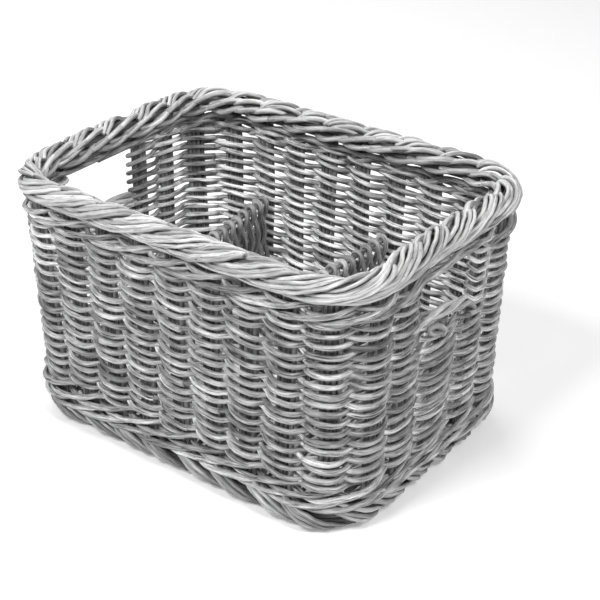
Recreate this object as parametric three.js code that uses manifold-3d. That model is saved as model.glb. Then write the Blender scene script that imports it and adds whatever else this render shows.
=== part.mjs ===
// Cutlery basket of round rattan cane: a tapered, rounded oblong with a plaited rim and foot,
// flat stakes of four canes, fluted walls of plain weave between two bands of waling, a handle
// hole in each short side, a woven base on sticks and two woven dividers across the width.
// Millimetres. X runs along the length, Y along the width, Z up; the origin is under the middle.
import * as THREE from "three";
import { mergeVertices } from "three/addons/utils/BufferGeometryUtils.js";
import Module from "manifold-3d";

const wasm = await Module();
wasm.setup();

// Driving dimensions of the body
const overallLength = 280;
const overallWidth = 209;
const overallHeight = 175;
const footLength = 265;
const footWidth = 197;
const cornerRadius = 37;

// Cane and the gap that separate pieces keep
const caneDiameter = 3;
const clearance = 0.3;

// Borders: each is a roll of cane bundles, one bundle for each stake
const rimRollDiameter = 21;
const rimStrandsRound = 6;
const footRollWidth = 16;
const footBorderHeight = 25;
const footFlatCut = 4;
const footStrandsRound = 4;
const grooveShare = 0.13;
const wallOutsideRimCentre = 2;
const wallOutsideFootCentre = 2.4;

// Stakes and walls
const canesInStake = 4;
const stakeWidth = 13;
const frontStakes = 11;
const backStakes = 12;
const wallAtGap = 3.4;
const gapLandWidth = 5;
const waleExtra = 1.2;
const lowerWaleHeight = 8;
const upperWaleHeight = 8.5;
const cornerWeaveStakeCount = 2;

// Handle holes
const handleWidth = 58;
const handleHoleHeight = 32.5;
const waleOverHandle = 3.2;
const rightHandleCentreY = -0.5;
const leftHandleCentreY = -15.5;
const sillRollDiameter = 7.5;
const sillStrandsRound = 3;
const sillTwists = 7;

// Base
const baseThickness = 8;
const baseStickDiameter = 4;
const baseSticks = 5;
const baseStickPitch = 29;

// Dividers, left one turned a little in plan
const dividerThickness = 9;
const dividerTopHeight = 106;
const leftDividerX = -57;
const leftDividerTurn = 9;
const rightDividerX = 31;
const rightDividerTurn = 0;
const dividerRods = 4;
const dividerRodDiameter = 3.2;
const lowestRodAboveBase = 10.5;
const dividerLoops = 23;
const dividerLoopRelief = 0.8;

// Fineness of the faceted forms
const cornerStepLength = 9;
const closestStations = 0.5;
const rodSides = 8;
const baseCornerSegments = 6;
const cutOvershoot = 2;

// Heights that follow
const rimRadius = rimRollDiameter / 2;
const rimCentreHeight = overallHeight - rimRadius;
const wallTop = overallHeight - rimRollDiameter - clearance;
const wallBottom = footBorderHeight + clearance;
const weaveBottom = wallBottom + lowerWaleHeight + clearance;
const weaveTop = wallTop - upperWaleHeight - clearance;
const handleTopHeight = wallTop - waleOverHandle;
const handleSillHeight = handleTopHeight - handleHoleHeight;
const baseTop = footBorderHeight;
const baseUnderside = baseTop - baseThickness;
const wallAtStake = 3 * caneDiameter;
const grooveFactor = 1 - grooveShare;

// Plan outlines: rounded rectangles given by half sizes and corner radius
const rimCentre = {
  halfX: overallLength / 2 - rimRadius,
  halfY: overallWidth / 2 - rimRadius,
  radius: cornerRadius - wallOutsideRimCentre,
};
const footCentre = {
  halfX: footLength / 2 - footRollWidth / 2,
  halfY: footWidth / 2 - footRollWidth / 2,
  radius: cornerRadius - wallOutsideFootCentre,
};
const wallAtTop = grown(rimCentre, wallOutsideRimCentre);
const wallAtBottom = grown(footCentre, wallOutsideFootCentre);

function grown(outline, by) {
  return { halfX: outline.halfX + by, halfY: outline.halfY + by, radius: outline.radius + by };
}

// The middle surface of the wall at a height: the wall leans out in a straight line.
function wallOutline(height) {
  const share = (height - wallBottom) / (wallTop - wallBottom);
  const between = (key) => wallAtBottom[key] + (wallAtTop[key] - wallAtBottom[key]) * share;
  return { halfX: between("halfX"), halfY: between("halfY"), radius: between("radius") };
}

// Runs of an outline, counter-clockwise seen from above, from the middle of the front: half the
// front, then corner and side in turn, and the other half of the front. Odd runs are corners.
const quarterTurn = Math.PI / 2;

function outlineRuns({ halfX, halfY, radius }) {
  const flatX = halfX - radius;
  const flatY = halfY - radius;
  const arc = radius * quarterTurn;
  return [flatX, arc, 2 * flatY, arc, 2 * flatX, arc, 2 * flatY, arc, flatX];
}

const stakeRuns = outlineRuns(wallAtTop);
const wallGirth = stakeRuns.reduce((sum, run) => sum + run, 0);

// The place on any outline that matches a length along the top of the wall.
function placeAt(length, runs = stakeRuns) {
  const girth = runs.reduce((sum, run) => sum + run, 0);
  let rest = ((length % girth) + girth) % girth;
  let run = 0;
  while (run < runs.length - 1 && rest > runs[run]) {
    rest -= runs[run];
    run += 1;
  }
  return { run, share: Math.min(rest / runs[run], 1) };
}

// The point at a place on an outline, moved out by a distance, and the directions there.
function outlinePoint(outline, place, out) {
  const { run, share } = place;
  const side = Math.floor(run / 2) % 4;
  const facesY = side % 2 === 0;
  const reach = facesY ? outline.halfY : outline.halfX;
  const flat = (facesY ? outline.halfX : outline.halfY) - outline.radius;
  const sideAngle = (side - 1) * quarterTurn;
  const normal = new THREE.Vector2(Math.cos(sideAngle), Math.sin(sideAngle));
  const along = new THREE.Vector2(-normal.y, normal.x);
  if (run % 2 === 1) {
    const angle = sideAngle + share * quarterTurn;
    const turned = new THREE.Vector2(Math.cos(angle), Math.sin(angle));
    const centre = normal.clone().multiplyScalar(reach - outline.radius).addScaledVector(along, flat);
    return { point: centre.addScaledVector(turned, outline.radius + out), normal: turned };
  }
  const first = run === 0 ? 0 : -flat;
  const last = run === 8 ? 0 : flat;
  const point = normal.clone().multiplyScalar(reach + out);
  return { point: point.addScaledVector(along, first + (last - first) * share), normal };
}

// Lengths along the top of the wall: the handles' middles and every stake
const halfSide = stakeRuns[2] / 2;
const rightSideMiddle = stakeRuns[0] + stakeRuns[1] + halfSide;
const leftSideMiddle = wallGirth - rightSideMiddle;
const rightHandle = rightSideMiddle + rightHandleCentreY;
const leftHandle = leftSideMiddle - leftHandleCentreY;
const jambDistance = handleWidth / 2 + caneDiameter + stakeWidth / 2;

function spread(from, to, count) {
  const pitch = (to - from) / (count + 1);
  return Array.from({ length: count }, (_, index) => from + pitch * (index + 1));
}

const backRun = spread(rightHandle + jambDistance, leftHandle - jambDistance, backStakes);
const frontRun = spread(leftHandle + jambDistance, rightHandle - jambDistance + wallGirth, frontStakes);
const stakes = [
  { name: "right_front_jamb_stake", length: rightHandle - jambDistance },
  { name: "right_short_stake", length: rightHandle, cutAtSill: true },
  { name: "right_back_jamb_stake", length: rightHandle + jambDistance },
  ...backRun.map((length, index) => ({ name: `back_stake_${index + 1}`, length })),
  { name: "left_back_jamb_stake", length: leftHandle - jambDistance },
  { name: "left_short_stake", length: leftHandle, cutAtSill: true },
  { name: "left_front_jamb_stake", length: leftHandle + jambDistance },
  ...frontRun.map((length, index) => ({ name: `front_stake_${index + 1}`, length })),
];

// Half the wall's thickness along its girth: full at each stake, thin where the canes cross.
function fluteStations() {
  const stations = [];
  stakes.forEach((stake, index) => {
    const isLast = index + 1 === stakes.length;
    const next = isLast ? stakes[0].length + wallGirth : stakes[index + 1].length;
    const middle = (stake.length + next) / 2;
    stations.push({ length: stake.length - stakeWidth / 2, half: wallAtStake / 2 });
    stations.push({ length: stake.length + stakeWidth / 2, half: wallAtStake / 2 });
    stations.push({ length: middle - gapLandWidth / 2, half: wallAtGap / 2 });
    stations.push({ length: middle + gapLandWidth / 2, half: wallAtGap / 2 });
  });
  return stations;
}

const flutes = fluteStations();

function halfThicknessAt(length) {
  const first = flutes[0].length;
  const wrapped = first + ((((length - first) % wallGirth) + wallGirth) % wallGirth);
  const ring = [...flutes, { ...flutes[0], length: first + wallGirth }];
  const after = ring.findIndex((station) => station.length >= wrapped);
  const high = ring[Math.max(after, 1)];
  const low = ring[Math.max(after, 1) - 1];
  return low.half + ((high.half - low.half) * (wrapped - low.length)) / (high.length - low.length);
}

// Solids
// Triangles that fill a flat section, found by ear clipping as seen along its normal.
function capOf(section) {
  const normal = new THREE.Vector3();
  section.forEach((p, k) => normal.add(p.clone().cross(section[(k + 1) % section.length])));
  const across = section[1].clone().sub(section[0]).normalize();
  const up = normal.normalize().cross(across);
  const plan = section.map((p) => new THREE.Vector2(p.dot(across), p.dot(up)));
  return THREE.ShapeUtils.triangulateShape(plan, []).map(([a, b, c]) => {
    const turnsLeft = plan[b].clone().sub(plan[a]).cross(plan[c].clone().sub(plan[a])) > 0;
    return turnsLeft ? [a, b, c] : [a, c, b];
  });
}

// Triangles of a skin over sections of equal point counts, capped where it is open. The slant
// says which way each four-sided patch is split, so that ropes keep clean ridges.
function loft(sections, { closed = false, slant = 1 } = {}) {
  const perSection = sections[0].length;
  const positions = sections.flat().flatMap((p) => [p.x, p.y, p.z]);
  const triangles = [];
  const spans = closed ? sections.length : sections.length - 1;
  for (let i = 0; i < spans; i += 1) {
    for (let k = 0; k < perSection; k += 1) {
      const a = i * perSection + k;
      const b = i * perSection + ((k + 1) % perSection);
      const c = ((i + 1) % sections.length) * perSection + k;
      const d = ((i + 1) % sections.length) * perSection + ((k + 1) % perSection);
      triangles.push(...(slant > 0 ? [a, b, d, a, d, c] : [a, b, c, b, d, c]));
    }
  }
  if (!closed) {
    const last = sections.length - 1;
    for (const [a, b, c] of capOf(sections[0])) triangles.push(a, c, b);
    for (const cap of capOf(sections[last])) triangles.push(...cap.map((k) => last * perSection + k));
  }
  return solidFrom(positions, triangles);
}

function solidFrom(positions, triangles) {
  const corner = (index) => new THREE.Vector3().fromArray(positions, index * 3);
  let sixVolumes = 0;
  for (let i = 0; i < triangles.length; i += 3) {
    const [a, b, c] = [corner(triangles[i]), corner(triangles[i + 1]), corner(triangles[i + 2])];
    sixVolumes += a.dot(b.cross(c));
  }
  const outward = sixVolumes > 0 ? triangles : [...triangles].reverse();
  return new wasm.Manifold(
    new wasm.Mesh({
      numProp: 3,
      vertProperties: Float32Array.from(positions),
      triVerts: Uint32Array.from(outward),
    }),
  );
}

function solidOf(geometry) {
  const plain = geometry.clone();
  plain.deleteAttribute("normal");
  plain.deleteAttribute("uv");
  const merged = mergeVertices(plain, 1e-4);
  return solidFrom(Array.from(merged.attributes.position.array), Array.from(merged.index.array));
}

function geometryOf(solid) {
  const { vertProperties, triVerts } = solid.getMesh();
  const geometry = new THREE.BufferGeometry();
  geometry.setAttribute("position", new THREE.BufferAttribute(Float32Array.from(vertProperties), 3));
  geometry.setIndex(new THREE.BufferAttribute(Uint32Array.from(triVerts), 1));
  geometry.computeVertexNormals();
  return geometry;
}

function boxSolid(sizeX, sizeY, sizeZ, x, y, z) {
  return solidOf(new THREE.BoxGeometry(sizeX, sizeY, sizeZ).translate(x, y, z));
}

// Walls
function wallPoint(length, height, out) {
  const { point } = outlinePoint(wallOutline(height), placeAt(length), out);
  return new THREE.Vector3(point.x, point.y, height);
}

function wallSection(length, bottom, top, extra) {
  const half = halfThicknessAt(length) + extra / 2;
  return [
    wallPoint(length, bottom, half),
    wallPoint(length, top, half),
    wallPoint(length, top, -half),
    wallPoint(length, bottom, -half),
  ];
}

// Stations of a stretch of wall, with extra ones in the corners so that those stay round.
function stationsBetween(from, to) {
  const inside = flutes
    .flatMap(({ length }) => [length - wallGirth, length, length + wallGirth])
    .filter((length) => length > from + closestStations && length < to - closestStations)
    .sort((a, b) => a - b);
  const marks = [from, ...inside, to];
  const filled = [];
  marks.slice(0, -1).forEach((mark, index) => {
    const next = marks[index + 1];
    const onCorner = placeAt((mark + next) / 2).run % 2 === 1;
    const parts = onCorner ? Math.ceil((next - mark) / cornerStepLength) : 1;
    for (let part = 0; part < parts; part += 1) filled.push(mark + ((next - mark) * part) / parts);
  });
  return [...filled, to];
}

function wallStretch(from, to, bottom, top) {
  return loft(stationsBetween(from, to).map((length) => wallSection(length, bottom, top, 0)));
}

function wallBand(bottom, top, extra) {
  const start = flutes[0].length;
  const lengths = stationsBetween(start, start + wallGirth).slice(0, -1);
  return loft(lengths.map((length) => wallSection(length, bottom, top, extra)), { closed: true });
}

// A stake is one flat strip of canes side by side; its channel is the plain strip, grown.
function stakeTop(stake) {
  return stake.cutAtSill ? handleSillHeight - sillRollDiameter - 2 * clearance : wallTop;
}

function stakeFrame(stake, height) {
  const { point, normal } = outlinePoint(wallOutline(height), placeAt(stake.length), 0);
  const along = new THREE.Vector2(-normal.y, normal.x);
  return (across, out) =>
    new THREE.Vector3(
      point.x + along.x * across + normal.x * out,
      point.y + along.y * across + normal.y * out,
      height,
    );
}

function stakeSection(stake, height) {
  const at = stakeFrame(stake, height);
  const half = caneDiameter / 2;
  const cane = stakeWidth / canesInStake;
  const outline = [at(-stakeWidth / 2, 0)];
  for (const side of [1, -1]) {
    for (let index = 0; index < canesInStake; index += 1) {
      const middle = side * (-stakeWidth / 2 + cane * (index + 0.5));
      outline.push(at(middle, side * half));
      if (index < canesInStake - 1) outline.push(at(middle + (side * cane) / 2, (side * half) / 2));
    }
    if (side > 0) outline.push(at(stakeWidth / 2, 0));
  }
  return outline;
}

function stakeSolid(stake) {
  return loft([wallBottom, stakeTop(stake)].map((height) => stakeSection(stake, height)));
}

function stakeChannel(stake) {
  const half = stakeWidth / 2 + clearance;
  const depth = caneDiameter / 2 + clearance;
  const ends = [wallBottom - cutOvershoot, stakeTop(stake) + cutOvershoot];
  return loft(
    ends.map((height) => {
      const at = stakeFrame(stake, height);
      return [at(-half, -depth), at(half, -depth), at(half, depth), at(-half, depth)];
    }),
  );
}

// The hole through one short side, down to the underside of its sill roll
function handleCut(side, centreY) {
  const through = 4 * wallAtStake;
  const floor = handleSillHeight - sillRollDiameter - clearance;
  const deep = handleTopHeight - floor;
  const middle = side * wallOutline(handleSillHeight).halfX;
  return boxSolid(through, handleWidth, deep, middle, centreY, floor + deep / 2);
}

const cuts = [
  ...stakes.map(stakeChannel),
  handleCut(1, rightHandleCentreY),
  handleCut(-1, leftHandleCentreY),
];

function withCuts(solid) {
  return cuts.reduce((left, cut) => left.subtract(cut), solid);
}

// Borders: a roll of strands that turns about its middle as it runs round the outline.
// Each strand has three points of the section, one of them in the groove, and the groove
// moves on by one point at each step, so one strand crosses the top for each stake.
const pointsPerStrand = 3;

function borderRoll(centre, height, halfWidth, halfHeight, strandsRound, hand) {
  const points = strandsRound * pointsPerStrand;
  const steps = stakes.length * pointsPerStrand;
  const runs = outlineRuns(centre);
  const girth = runs.reduce((sum, run) => sum + run, 0);
  const sections = Array.from({ length: steps }, (_, step) => {
    const place = placeAt((girth * step) / steps, runs);
    const { point, normal } = outlinePoint(centre, place, 0);
    return Array.from({ length: points }, (_unused, index) => {
      const inGroove = (index - hand * step) % pointsPerStrand === 0;
      const reach = inGroove ? grooveFactor : 1;
      const angle = (index / points) * 2 * Math.PI;
      const out = Math.cos(angle) * halfWidth * reach;
      const up = Math.sin(angle) * halfHeight * reach;
      return new THREE.Vector3(point.x + normal.x * out, point.y + normal.y * out, height + up);
    });
  });
  return loft(sections, { closed: true, slant: hand });
}

function rimSolid() {
  return borderRoll(rimCentre, rimCentreHeight, rimRadius, rimRadius, rimStrandsRound, 1);
}

// The foot is cut flat so that it stands on one ring of floor contact.
function footSolid() {
  const halfHeight = (footBorderHeight + footFlatCut) / 2;
  const roll = borderRoll(
    footCentre,
    footBorderHeight - halfHeight,
    footRollWidth / 2,
    halfHeight,
    footStrandsRound,
    -1,
  );
  const deep = 2 * footFlatCut;
  return roll.subtract(boxSolid(2 * footLength, 2 * footWidth, deep, 0, 0, -deep / 2));
}

// Handle sills: a short twisted roll along the bottom of each hole
function sillSolid(side, centreY) {
  const height = handleSillHeight - sillRollDiameter / 2;
  const middle = side * wallOutline(height).halfX;
  const length = handleWidth - 2 * clearance;
  const steps = sillTwists * pointsPerStrand;
  const points = sillStrandsRound * pointsPerStrand;
  const sections = Array.from({ length: steps + 1 }, (_, step) => {
    const y = centreY + length * (step / steps - 0.5);
    return Array.from({ length: points }, (_unused, index) => {
      const inGroove = (index + step) % pointsPerStrand === 0;
      const radius = (sillRollDiameter / 2) * (inGroove ? grooveFactor : 1);
      const angle = (index / points) * 2 * Math.PI;
      const x = middle + radius * Math.cos(angle);
      return new THREE.Vector3(x, y, height + radius * Math.sin(angle));
    });
  });
  return loft(sections, { slant: -1 });
}

// Base: a woven plate inside the foot, with sticks along its length
const baseOutline = grown(footCentre, -footRollWidth / 2 - clearance);

function baseHalfLengthAt(y) {
  const { halfX, halfY, radius } = baseOutline;
  const intoCorner = Math.max(Math.abs(y) - (halfY - radius), 0);
  return halfX - radius + Math.sqrt(radius ** 2 - intoCorner ** 2);
}

const baseStickHeight = baseUnderside + baseThickness / 2;
const baseStickPlaces = Array.from(
  { length: baseSticks },
  (_, index) => (index - (baseSticks - 1) / 2) * baseStickPitch,
);

function rodAlongX(y, height, radius, halfLength) {
  const rod = new THREE.CylinderGeometry(radius, radius, 2 * halfLength, rodSides);
  return solidOf(rod.rotateZ(quarterTurn).translate(0, y, height));
}

function baseSolid() {
  const { halfX, halfY, radius } = baseOutline;
  const plan = new THREE.Shape();
  plan.moveTo(halfX - radius, -halfY);
  plan.absarc(halfX - radius, radius - halfY, radius, -quarterTurn, 0, false);
  plan.absarc(halfX - radius, halfY - radius, radius, 0, quarterTurn, false);
  plan.absarc(radius - halfX, halfY - radius, radius, quarterTurn, 2 * quarterTurn, false);
  plan.absarc(radius - halfX, radius - halfY, radius, 2 * quarterTurn, 3 * quarterTurn, false);
  const plate = new THREE.ExtrudeGeometry(plan, {
    depth: baseThickness,
    bevelEnabled: false,
    curveSegments: baseCornerSegments,
  });
  const boreRadius = baseStickDiameter / 2 + clearance;
  return baseStickPlaces.reduce(
    (left, y) => left.subtract(rodAlongX(y, baseStickHeight, boreRadius, halfX + cutOvershoot)),
    solidOf(plate.translate(0, 0, baseUnderside)),
  );
}

function baseStickSolid(y) {
  const inset = baseHalfLengthAt(Math.abs(y) + baseStickDiameter / 2);
  return rodAlongX(y, baseStickHeight, baseStickDiameter / 2, inset);
}

// Dividers: canes woven upright over level rods and looped over the top rod
function dividerReach(height) {
  return wallOutline(height).halfY - (wallAtStake + waleExtra) / 2 - clearance;
}

function dividerPoint({ x, turn }, across, y, height) {
  const angle = THREE.MathUtils.degToRad(turn);
  return new THREE.Vector3(x - y * Math.tan(angle) + across / Math.cos(angle), y, height);
}

function dividerSolid(divider) {
  const bottom = baseTop + clearance;
  const shoulder = dividerTopHeight - dividerThickness / 2;
  const steps = dividerLoops * 2;
  const sections = Array.from({ length: steps + 1 }, (_, step) => {
    const share = (2 * step) / steps - 1;
    const relief = step % 2 === 1 ? 0 : dividerLoopRelief;
    const half = dividerThickness / 2 - relief / 2;
    const crown = dividerTopHeight - relief;
    const haunch = shoulder + (crown - shoulder) * Math.SQRT1_2;
    const profile = [
      [-half, bottom],
      [half, bottom],
      [half, shoulder],
      [half * Math.SQRT1_2, haunch],
      [0, crown],
      [-half * Math.SQRT1_2, haunch],
      [-half, shoulder],
    ];
    return profile.map(([across, height]) => {
      const y = share * dividerReach(height);
      return dividerPoint(divider, across, y, height);
    });
  });
  const boreRadius = dividerRodDiameter / 2 + clearance;
  return dividerRodHeights().reduce(
    (left, height) => left.subtract(dividerRod(divider, height, boreRadius, cutOvershoot)),
    loft(sections),
  );
}

function dividerRodHeights() {
  const top = dividerTopHeight - dividerThickness / 2;
  const lowest = baseTop + lowestRodAboveBase;
  const pitch = (top - lowest) / (dividerRods - 1);
  return Array.from({ length: dividerRods }, (_, index) => top - index * pitch);
}

function dividerRod(divider, height, radius, past) {
  const reach = dividerReach(height - radius) + past;
  const ends = [-reach, reach].map((y) =>
    Array.from({ length: rodSides }, (_, index) => {
      const angle = ((index + 0.5) / rodSides) * 2 * Math.PI;
      return dividerPoint(divider, radius * Math.cos(angle), y, height + radius * Math.sin(angle));
    }),
  );
  return loft(ends);
}

// Assembly
const caneColours = { weave: 0x868686, stake: 0x5c5c5c, border: 0xa6a6a6, divider: 0x767676 };
const basket = new THREE.Group();
basket.name = "cutlery_basket";

function addPiece(name, solid, colour) {
  const material = new THREE.MeshStandardMaterial({ color: colour, roughness: 0.75, metalness: 0 });
  const mesh = new THREE.Mesh(geometryOf(solid), material);
  mesh.name = name;
  basket.add(mesh);
}

addPiece("rim_border", rimSolid(), caneColours.border);
addPiece("foot_border", footSolid(), caneColours.border);

const upperWale = wallBand(wallTop - upperWaleHeight, wallTop, waleExtra);
const lowerWale = wallBand(wallBottom, wallBottom + lowerWaleHeight, waleExtra);
addPiece("upper_wale", withCuts(upperWale), caneColours.weave);
addPiece("lower_wale", withCuts(lowerWale), caneColours.weave);

// Each stretch of woven wall runs between two joints, half the clearance short of each.
const halfGap = clearance / 2;
const jointAfter = (run) => (run[cornerWeaveStakeCount - 1] + run[cornerWeaveStakeCount]) / 2;
const frontLeftJoint = jointAfter(frontRun);
const frontRightJoint = jointAfter([...frontRun].reverse());
const backRightJoint = jointAfter(backRun);
const backLeftJoint = jointAfter([...backRun].reverse());
const holeHalf = handleWidth / 2;
const stretches = [
  ["front_weave", frontLeftJoint, frontRightJoint],
  ["front_right_corner_weave", frontRightJoint - wallGirth, rightHandle - holeHalf],
  ["right_weave_under_handle", rightHandle - holeHalf, rightHandle + holeHalf],
  ["back_right_corner_weave", rightHandle + holeHalf, backRightJoint],
  ["back_weave", backRightJoint, backLeftJoint],
  ["back_left_corner_weave", backLeftJoint, leftHandle - holeHalf],
  ["left_weave_under_handle", leftHandle - holeHalf, leftHandle + holeHalf],
  ["front_left_corner_weave", leftHandle + holeHalf, frontLeftJoint],
];
for (const [name, from, to] of stretches) {
  const stretch = wallStretch(from + halfGap, to - halfGap, weaveBottom, weaveTop);
  addPiece(name, withCuts(stretch), caneColours.weave);
}

for (const stake of stakes) addPiece(stake.name, stakeSolid(stake), caneColours.stake);

addPiece("right_handle_sill", sillSolid(1, rightHandleCentreY), caneColours.border);
addPiece("left_handle_sill", sillSolid(-1, leftHandleCentreY), caneColours.border);

addPiece("base_weave", baseSolid(), caneColours.weave);
baseStickPlaces.forEach((y, index) => {
  addPiece(`base_stick_${index + 1}`, baseStickSolid(y), caneColours.stake);
});

const dividers = [
  { name: "left_divider", x: leftDividerX, turn: leftDividerTurn },
  { name: "right_divider", x: rightDividerX, turn: rightDividerTurn },
];
for (const divider of dividers) {
  addPiece(`${divider.name}_weave`, dividerSolid(divider), caneColours.divider);
  dividerRodHeights().forEach((height, index) => {
    const rod = dividerRod(divider, height, dividerRodDiameter / 2, 0);
    addPiece(`${divider.name}_rod_${index + 1}`, rod, caneColours.stake);
  });
}

export default basket;
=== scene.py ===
"""Cutlery basket of round rattan cane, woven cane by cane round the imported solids."""

import math
from itertools import zip_longest

import bmesh
import bpy
import numpy as np
from bpy.props import FloatProperty, FloatVectorProperty, IntProperty, PointerProperty
from mathutils import Matrix, Vector


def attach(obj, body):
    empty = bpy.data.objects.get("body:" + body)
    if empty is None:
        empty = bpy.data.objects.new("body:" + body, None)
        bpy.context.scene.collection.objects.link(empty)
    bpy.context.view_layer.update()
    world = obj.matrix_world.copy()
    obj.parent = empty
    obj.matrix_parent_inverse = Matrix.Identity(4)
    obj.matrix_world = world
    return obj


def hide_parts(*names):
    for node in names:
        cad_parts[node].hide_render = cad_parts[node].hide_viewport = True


bl_info = {
    "name": "Cutlery basket",
    "version": (1, 0, 0),
    "blender": (4, 5, 0),
    "location": "View3D > Sidebar > Basket",
    "description": "Weaves a divided cutlery basket of round cane with rolled borders",
    "category": "Add Mesh",
}

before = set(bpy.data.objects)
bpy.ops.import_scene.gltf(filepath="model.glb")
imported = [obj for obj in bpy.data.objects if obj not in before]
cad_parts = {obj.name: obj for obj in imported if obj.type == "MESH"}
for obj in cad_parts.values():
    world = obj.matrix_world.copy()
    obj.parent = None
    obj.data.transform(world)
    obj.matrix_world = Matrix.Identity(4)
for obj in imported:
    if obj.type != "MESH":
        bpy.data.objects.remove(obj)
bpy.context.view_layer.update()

MM = 0.001
QUARTER = math.pi / 2

# Plan outlines as half length, half width and corner radius, the same as the solids have
RIM_CENTRE = np.array([129.5, 94.0, 35.0]) * MM
FOOT_CENTRE = np.array([124.5, 90.5, 34.6]) * MM
WALL_AT_TOP = RIM_CENTRE + 2.0 * MM
WALL_AT_BOTTOM = FOOT_CENTRE + 2.4 * MM
BASE_OUTLINE = FOOT_CENTRE - 8.3 * MM

# Heights
RIM_CENTRE_HEIGHT = 164.5 * MM
WALL_TOP = 153.7 * MM
WALL_BOTTOM = 25.3 * MM
WEAVE_TOP = 144.9 * MM
WEAVE_BOTTOM = 33.6 * MM
BASE_MIDDLE = 21.0 * MM

# Stakes and handle holes; stakes are counted from the one before the right hole
STAKE_WIDTH = 13.0 * MM
CANES_IN_STAKE = 4
FRONT_STAKES = 11
BACK_STAKES = 12
HANDLE_WIDTH = 58.0 * MM
HANDLE_SILL = 118.0 * MM
SILL_ROLL_DIAMETER = 7.5 * MM
RIGHT_HANDLE_Y = -0.5 * MM
LEFT_HANDLE_Y = -15.5 * MM
JAMB_DISTANCE = 38.5 * MM
SHORT_STAKES = (1, 16)
STAKE_FOOT = WALL_BOTTOM - 8.0 * MM
STAKE_HEAD = WALL_TOP + 6.0 * MM
SHORT_STAKE_HEAD = HANDLE_SILL - 0.6 * SILL_ROLL_DIAMETER
STAKE_SIDE_STRAY = 0.15 * MM
STAKE_SIDE_WAVE = 50.0 * MM
STAKE_OUT_STRAY = 0.2 * MM
STAKE_OUT_WAVE = 60.0 * MM

# Pieces of stakes: name, nodes and the first one's number
STAKE_GROUPS = (
    ("right_handle_stakes", ["right_front_jamb_stake", "right_short_stake", "right_back_jamb_stake"], 0),
    ("back_stakes", [f"back_stake_{number}" for number in range(1, BACK_STAKES + 1)], 3),
    ("left_handle_stakes", ["left_back_jamb_stake", "left_short_stake", "left_front_jamb_stake"], 15),
    ("front_stakes", [f"front_stake_{number}" for number in range(1, FRONT_STAKES + 1)], 18),
)

# How canes stray from straight lines: size, waves round the basket and up the wall, start
SIDE_STRAY = ((0.8, 7, 5, 0), (0.56, 11, -9, 2))
LIFT_STRAY = ((0.7, 5, 3, 1), (0.56, 13, -4, 0))

# How thickness and tone change from cane to cane and along each
THICKNESS_SPREAD = 0.07
THICKNESS_DRIFT = 0.05
THICKNESS_WAVE = 50.0 * MM
SLOW_TONE_WAVE = 130.0 * MM
QUICK_TONE_WAVE = 35.0 * MM
QUICK_TONE_SHARE = 0.35
PALEST_TONE = 1.08  # past this a cane's paler stretches are held back
HELD_BACK = 0.6
MOST_STRAY = 1.8  # times the usual chance amount, in the rim and the foot

# Marks of the canes' finish: count per metre along and across a cane, the noise's detail and
# roughness, and the ramp from the noise to a change of level
STREAKS = ((80, 760), 3.0, 0.6, (0.36, 0.64, -1.0, 1.0))
STRANDS = ((140, 1500), 2.0, 0.6, (0.36, 0.64, -1.0, 1.0))
PATCHES = ((36, 190), 3.0, 0.55, (0.35, 0.65, -1.0, 1.0))
SCUFFS = ((240, 800), 2.0, 0.5, (0.64, 0.74, 0.0, -0.4))
SPLITS = ((26, 620), 2.0, 0.5, (0.6, 0.66, 0.0, -0.4))
STRAND_SHARE = 0.6
DARKEST_LEVEL = 0.12
FIBRE_SHIFT = 7.0  # metres, so that no two canes show the same marks

# How much darker a cane's flanks are painted, as painted shade in the creases between it and its
# neighbours
WALL_PAINTED_SHADE = 0.42
BORDER_PAINTED_SHADE = 0.58
DARKEST_FACING = 0.15
PAINTED_SHADE_FADE = 0.6

# Rows of weaving, as they pass before and behind the stakes
STEPS_PER_STAKE = 12
ROWS = range(-2, 40)
SPARE_ROWS = 2
SWING_LEAD = 0.09
SWING_STRAY = 0.1
SWING_SQUARENESS = 1.3
SLOW_LIFT = 0.35 * MM
SLOW_LIFT_WAVE = 130.0 * MM
SLOW_LIFT_SEED = 300
PASS_LIFT = 0.8 * MM
ROW_TILT = 0.6 * MM
ROW_SAG = 1.9 * MM
BULGE = 0.12
BULGE_STRAY = 0.14
FULLNESS = 0.15
FULLNESS_STRAY = 0.13
PASS_TONE = 0.26
# Painted light: how much paler a row is painted where it passes inside the wall
INSIDE_PAINTED_LIGHT = 0.95
HEIGHT_SEED, BULGE_SEED, FULLNESS_SEED, TONE_SEED, SWING_SEED, LOOP_SEED = range(11, 17)

# The rows' loops round the jambs of the handle holes, wider round the left hole's back jamb
LOOP_REACH = 0.95
LOOP_STRAY = 0.9 * MM
LOOSE_LOOP = 2.5 * MM
LOOSE_JAMB = 15
TURNED_TONE = 0.85
TURN_SMOOTHINGS = 9

# The slack rows beside the right hole's back jamb, in stakes
SLACK_START = 1.86
SLACK_RUN = 0.66
LAST_TIGHT_ROW = 24
SLACK_SAG = 6.0 * MM
SLACK_EDGE = 2.5
SLACK_BULGE = 0.3

# Joins in the rows: how far a cane's end runs past its join in stakes, how far it stands out
# there, and how much paler and fuller it is, for the end that lies on top and for the other
JOINED_ROWS = range(1, 36)
JOIN_SEED = 42
JOIN_FROM_START = 0.5  # stakes that a join keeps from the ends of its stretch
JOIN_FROM_END = 0.6
END_ON_TOP = (0.3, 1.1 * MM, 1.0)
END_BEHIND = (-0.1, -1.3 * MM, -0.6)
END_LIFT_RUN = 0.35
END_LIFT_POWER = 1.5
END_TONE_RUN = 0.8
END_FULLNESS = 0.12
END_PALENESS = 0.28

# The weave ends under the sills. The right sill and the weave under it rise towards the front,
# the weave from one stake number on and over a run in stakes.
UNDER_SILL = HANDLE_SILL - SILL_ROLL_DIAMETER - 1.1 * MM
RIGHT_SILL_RISE = 9.0 * MM
RIGHT_WEAVE_RISE = 8.5 * MM
RIGHT_WEAVE_LEVEL = 1.75
RIGHT_WEAVE_RISE_RUN = 1.5

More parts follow.
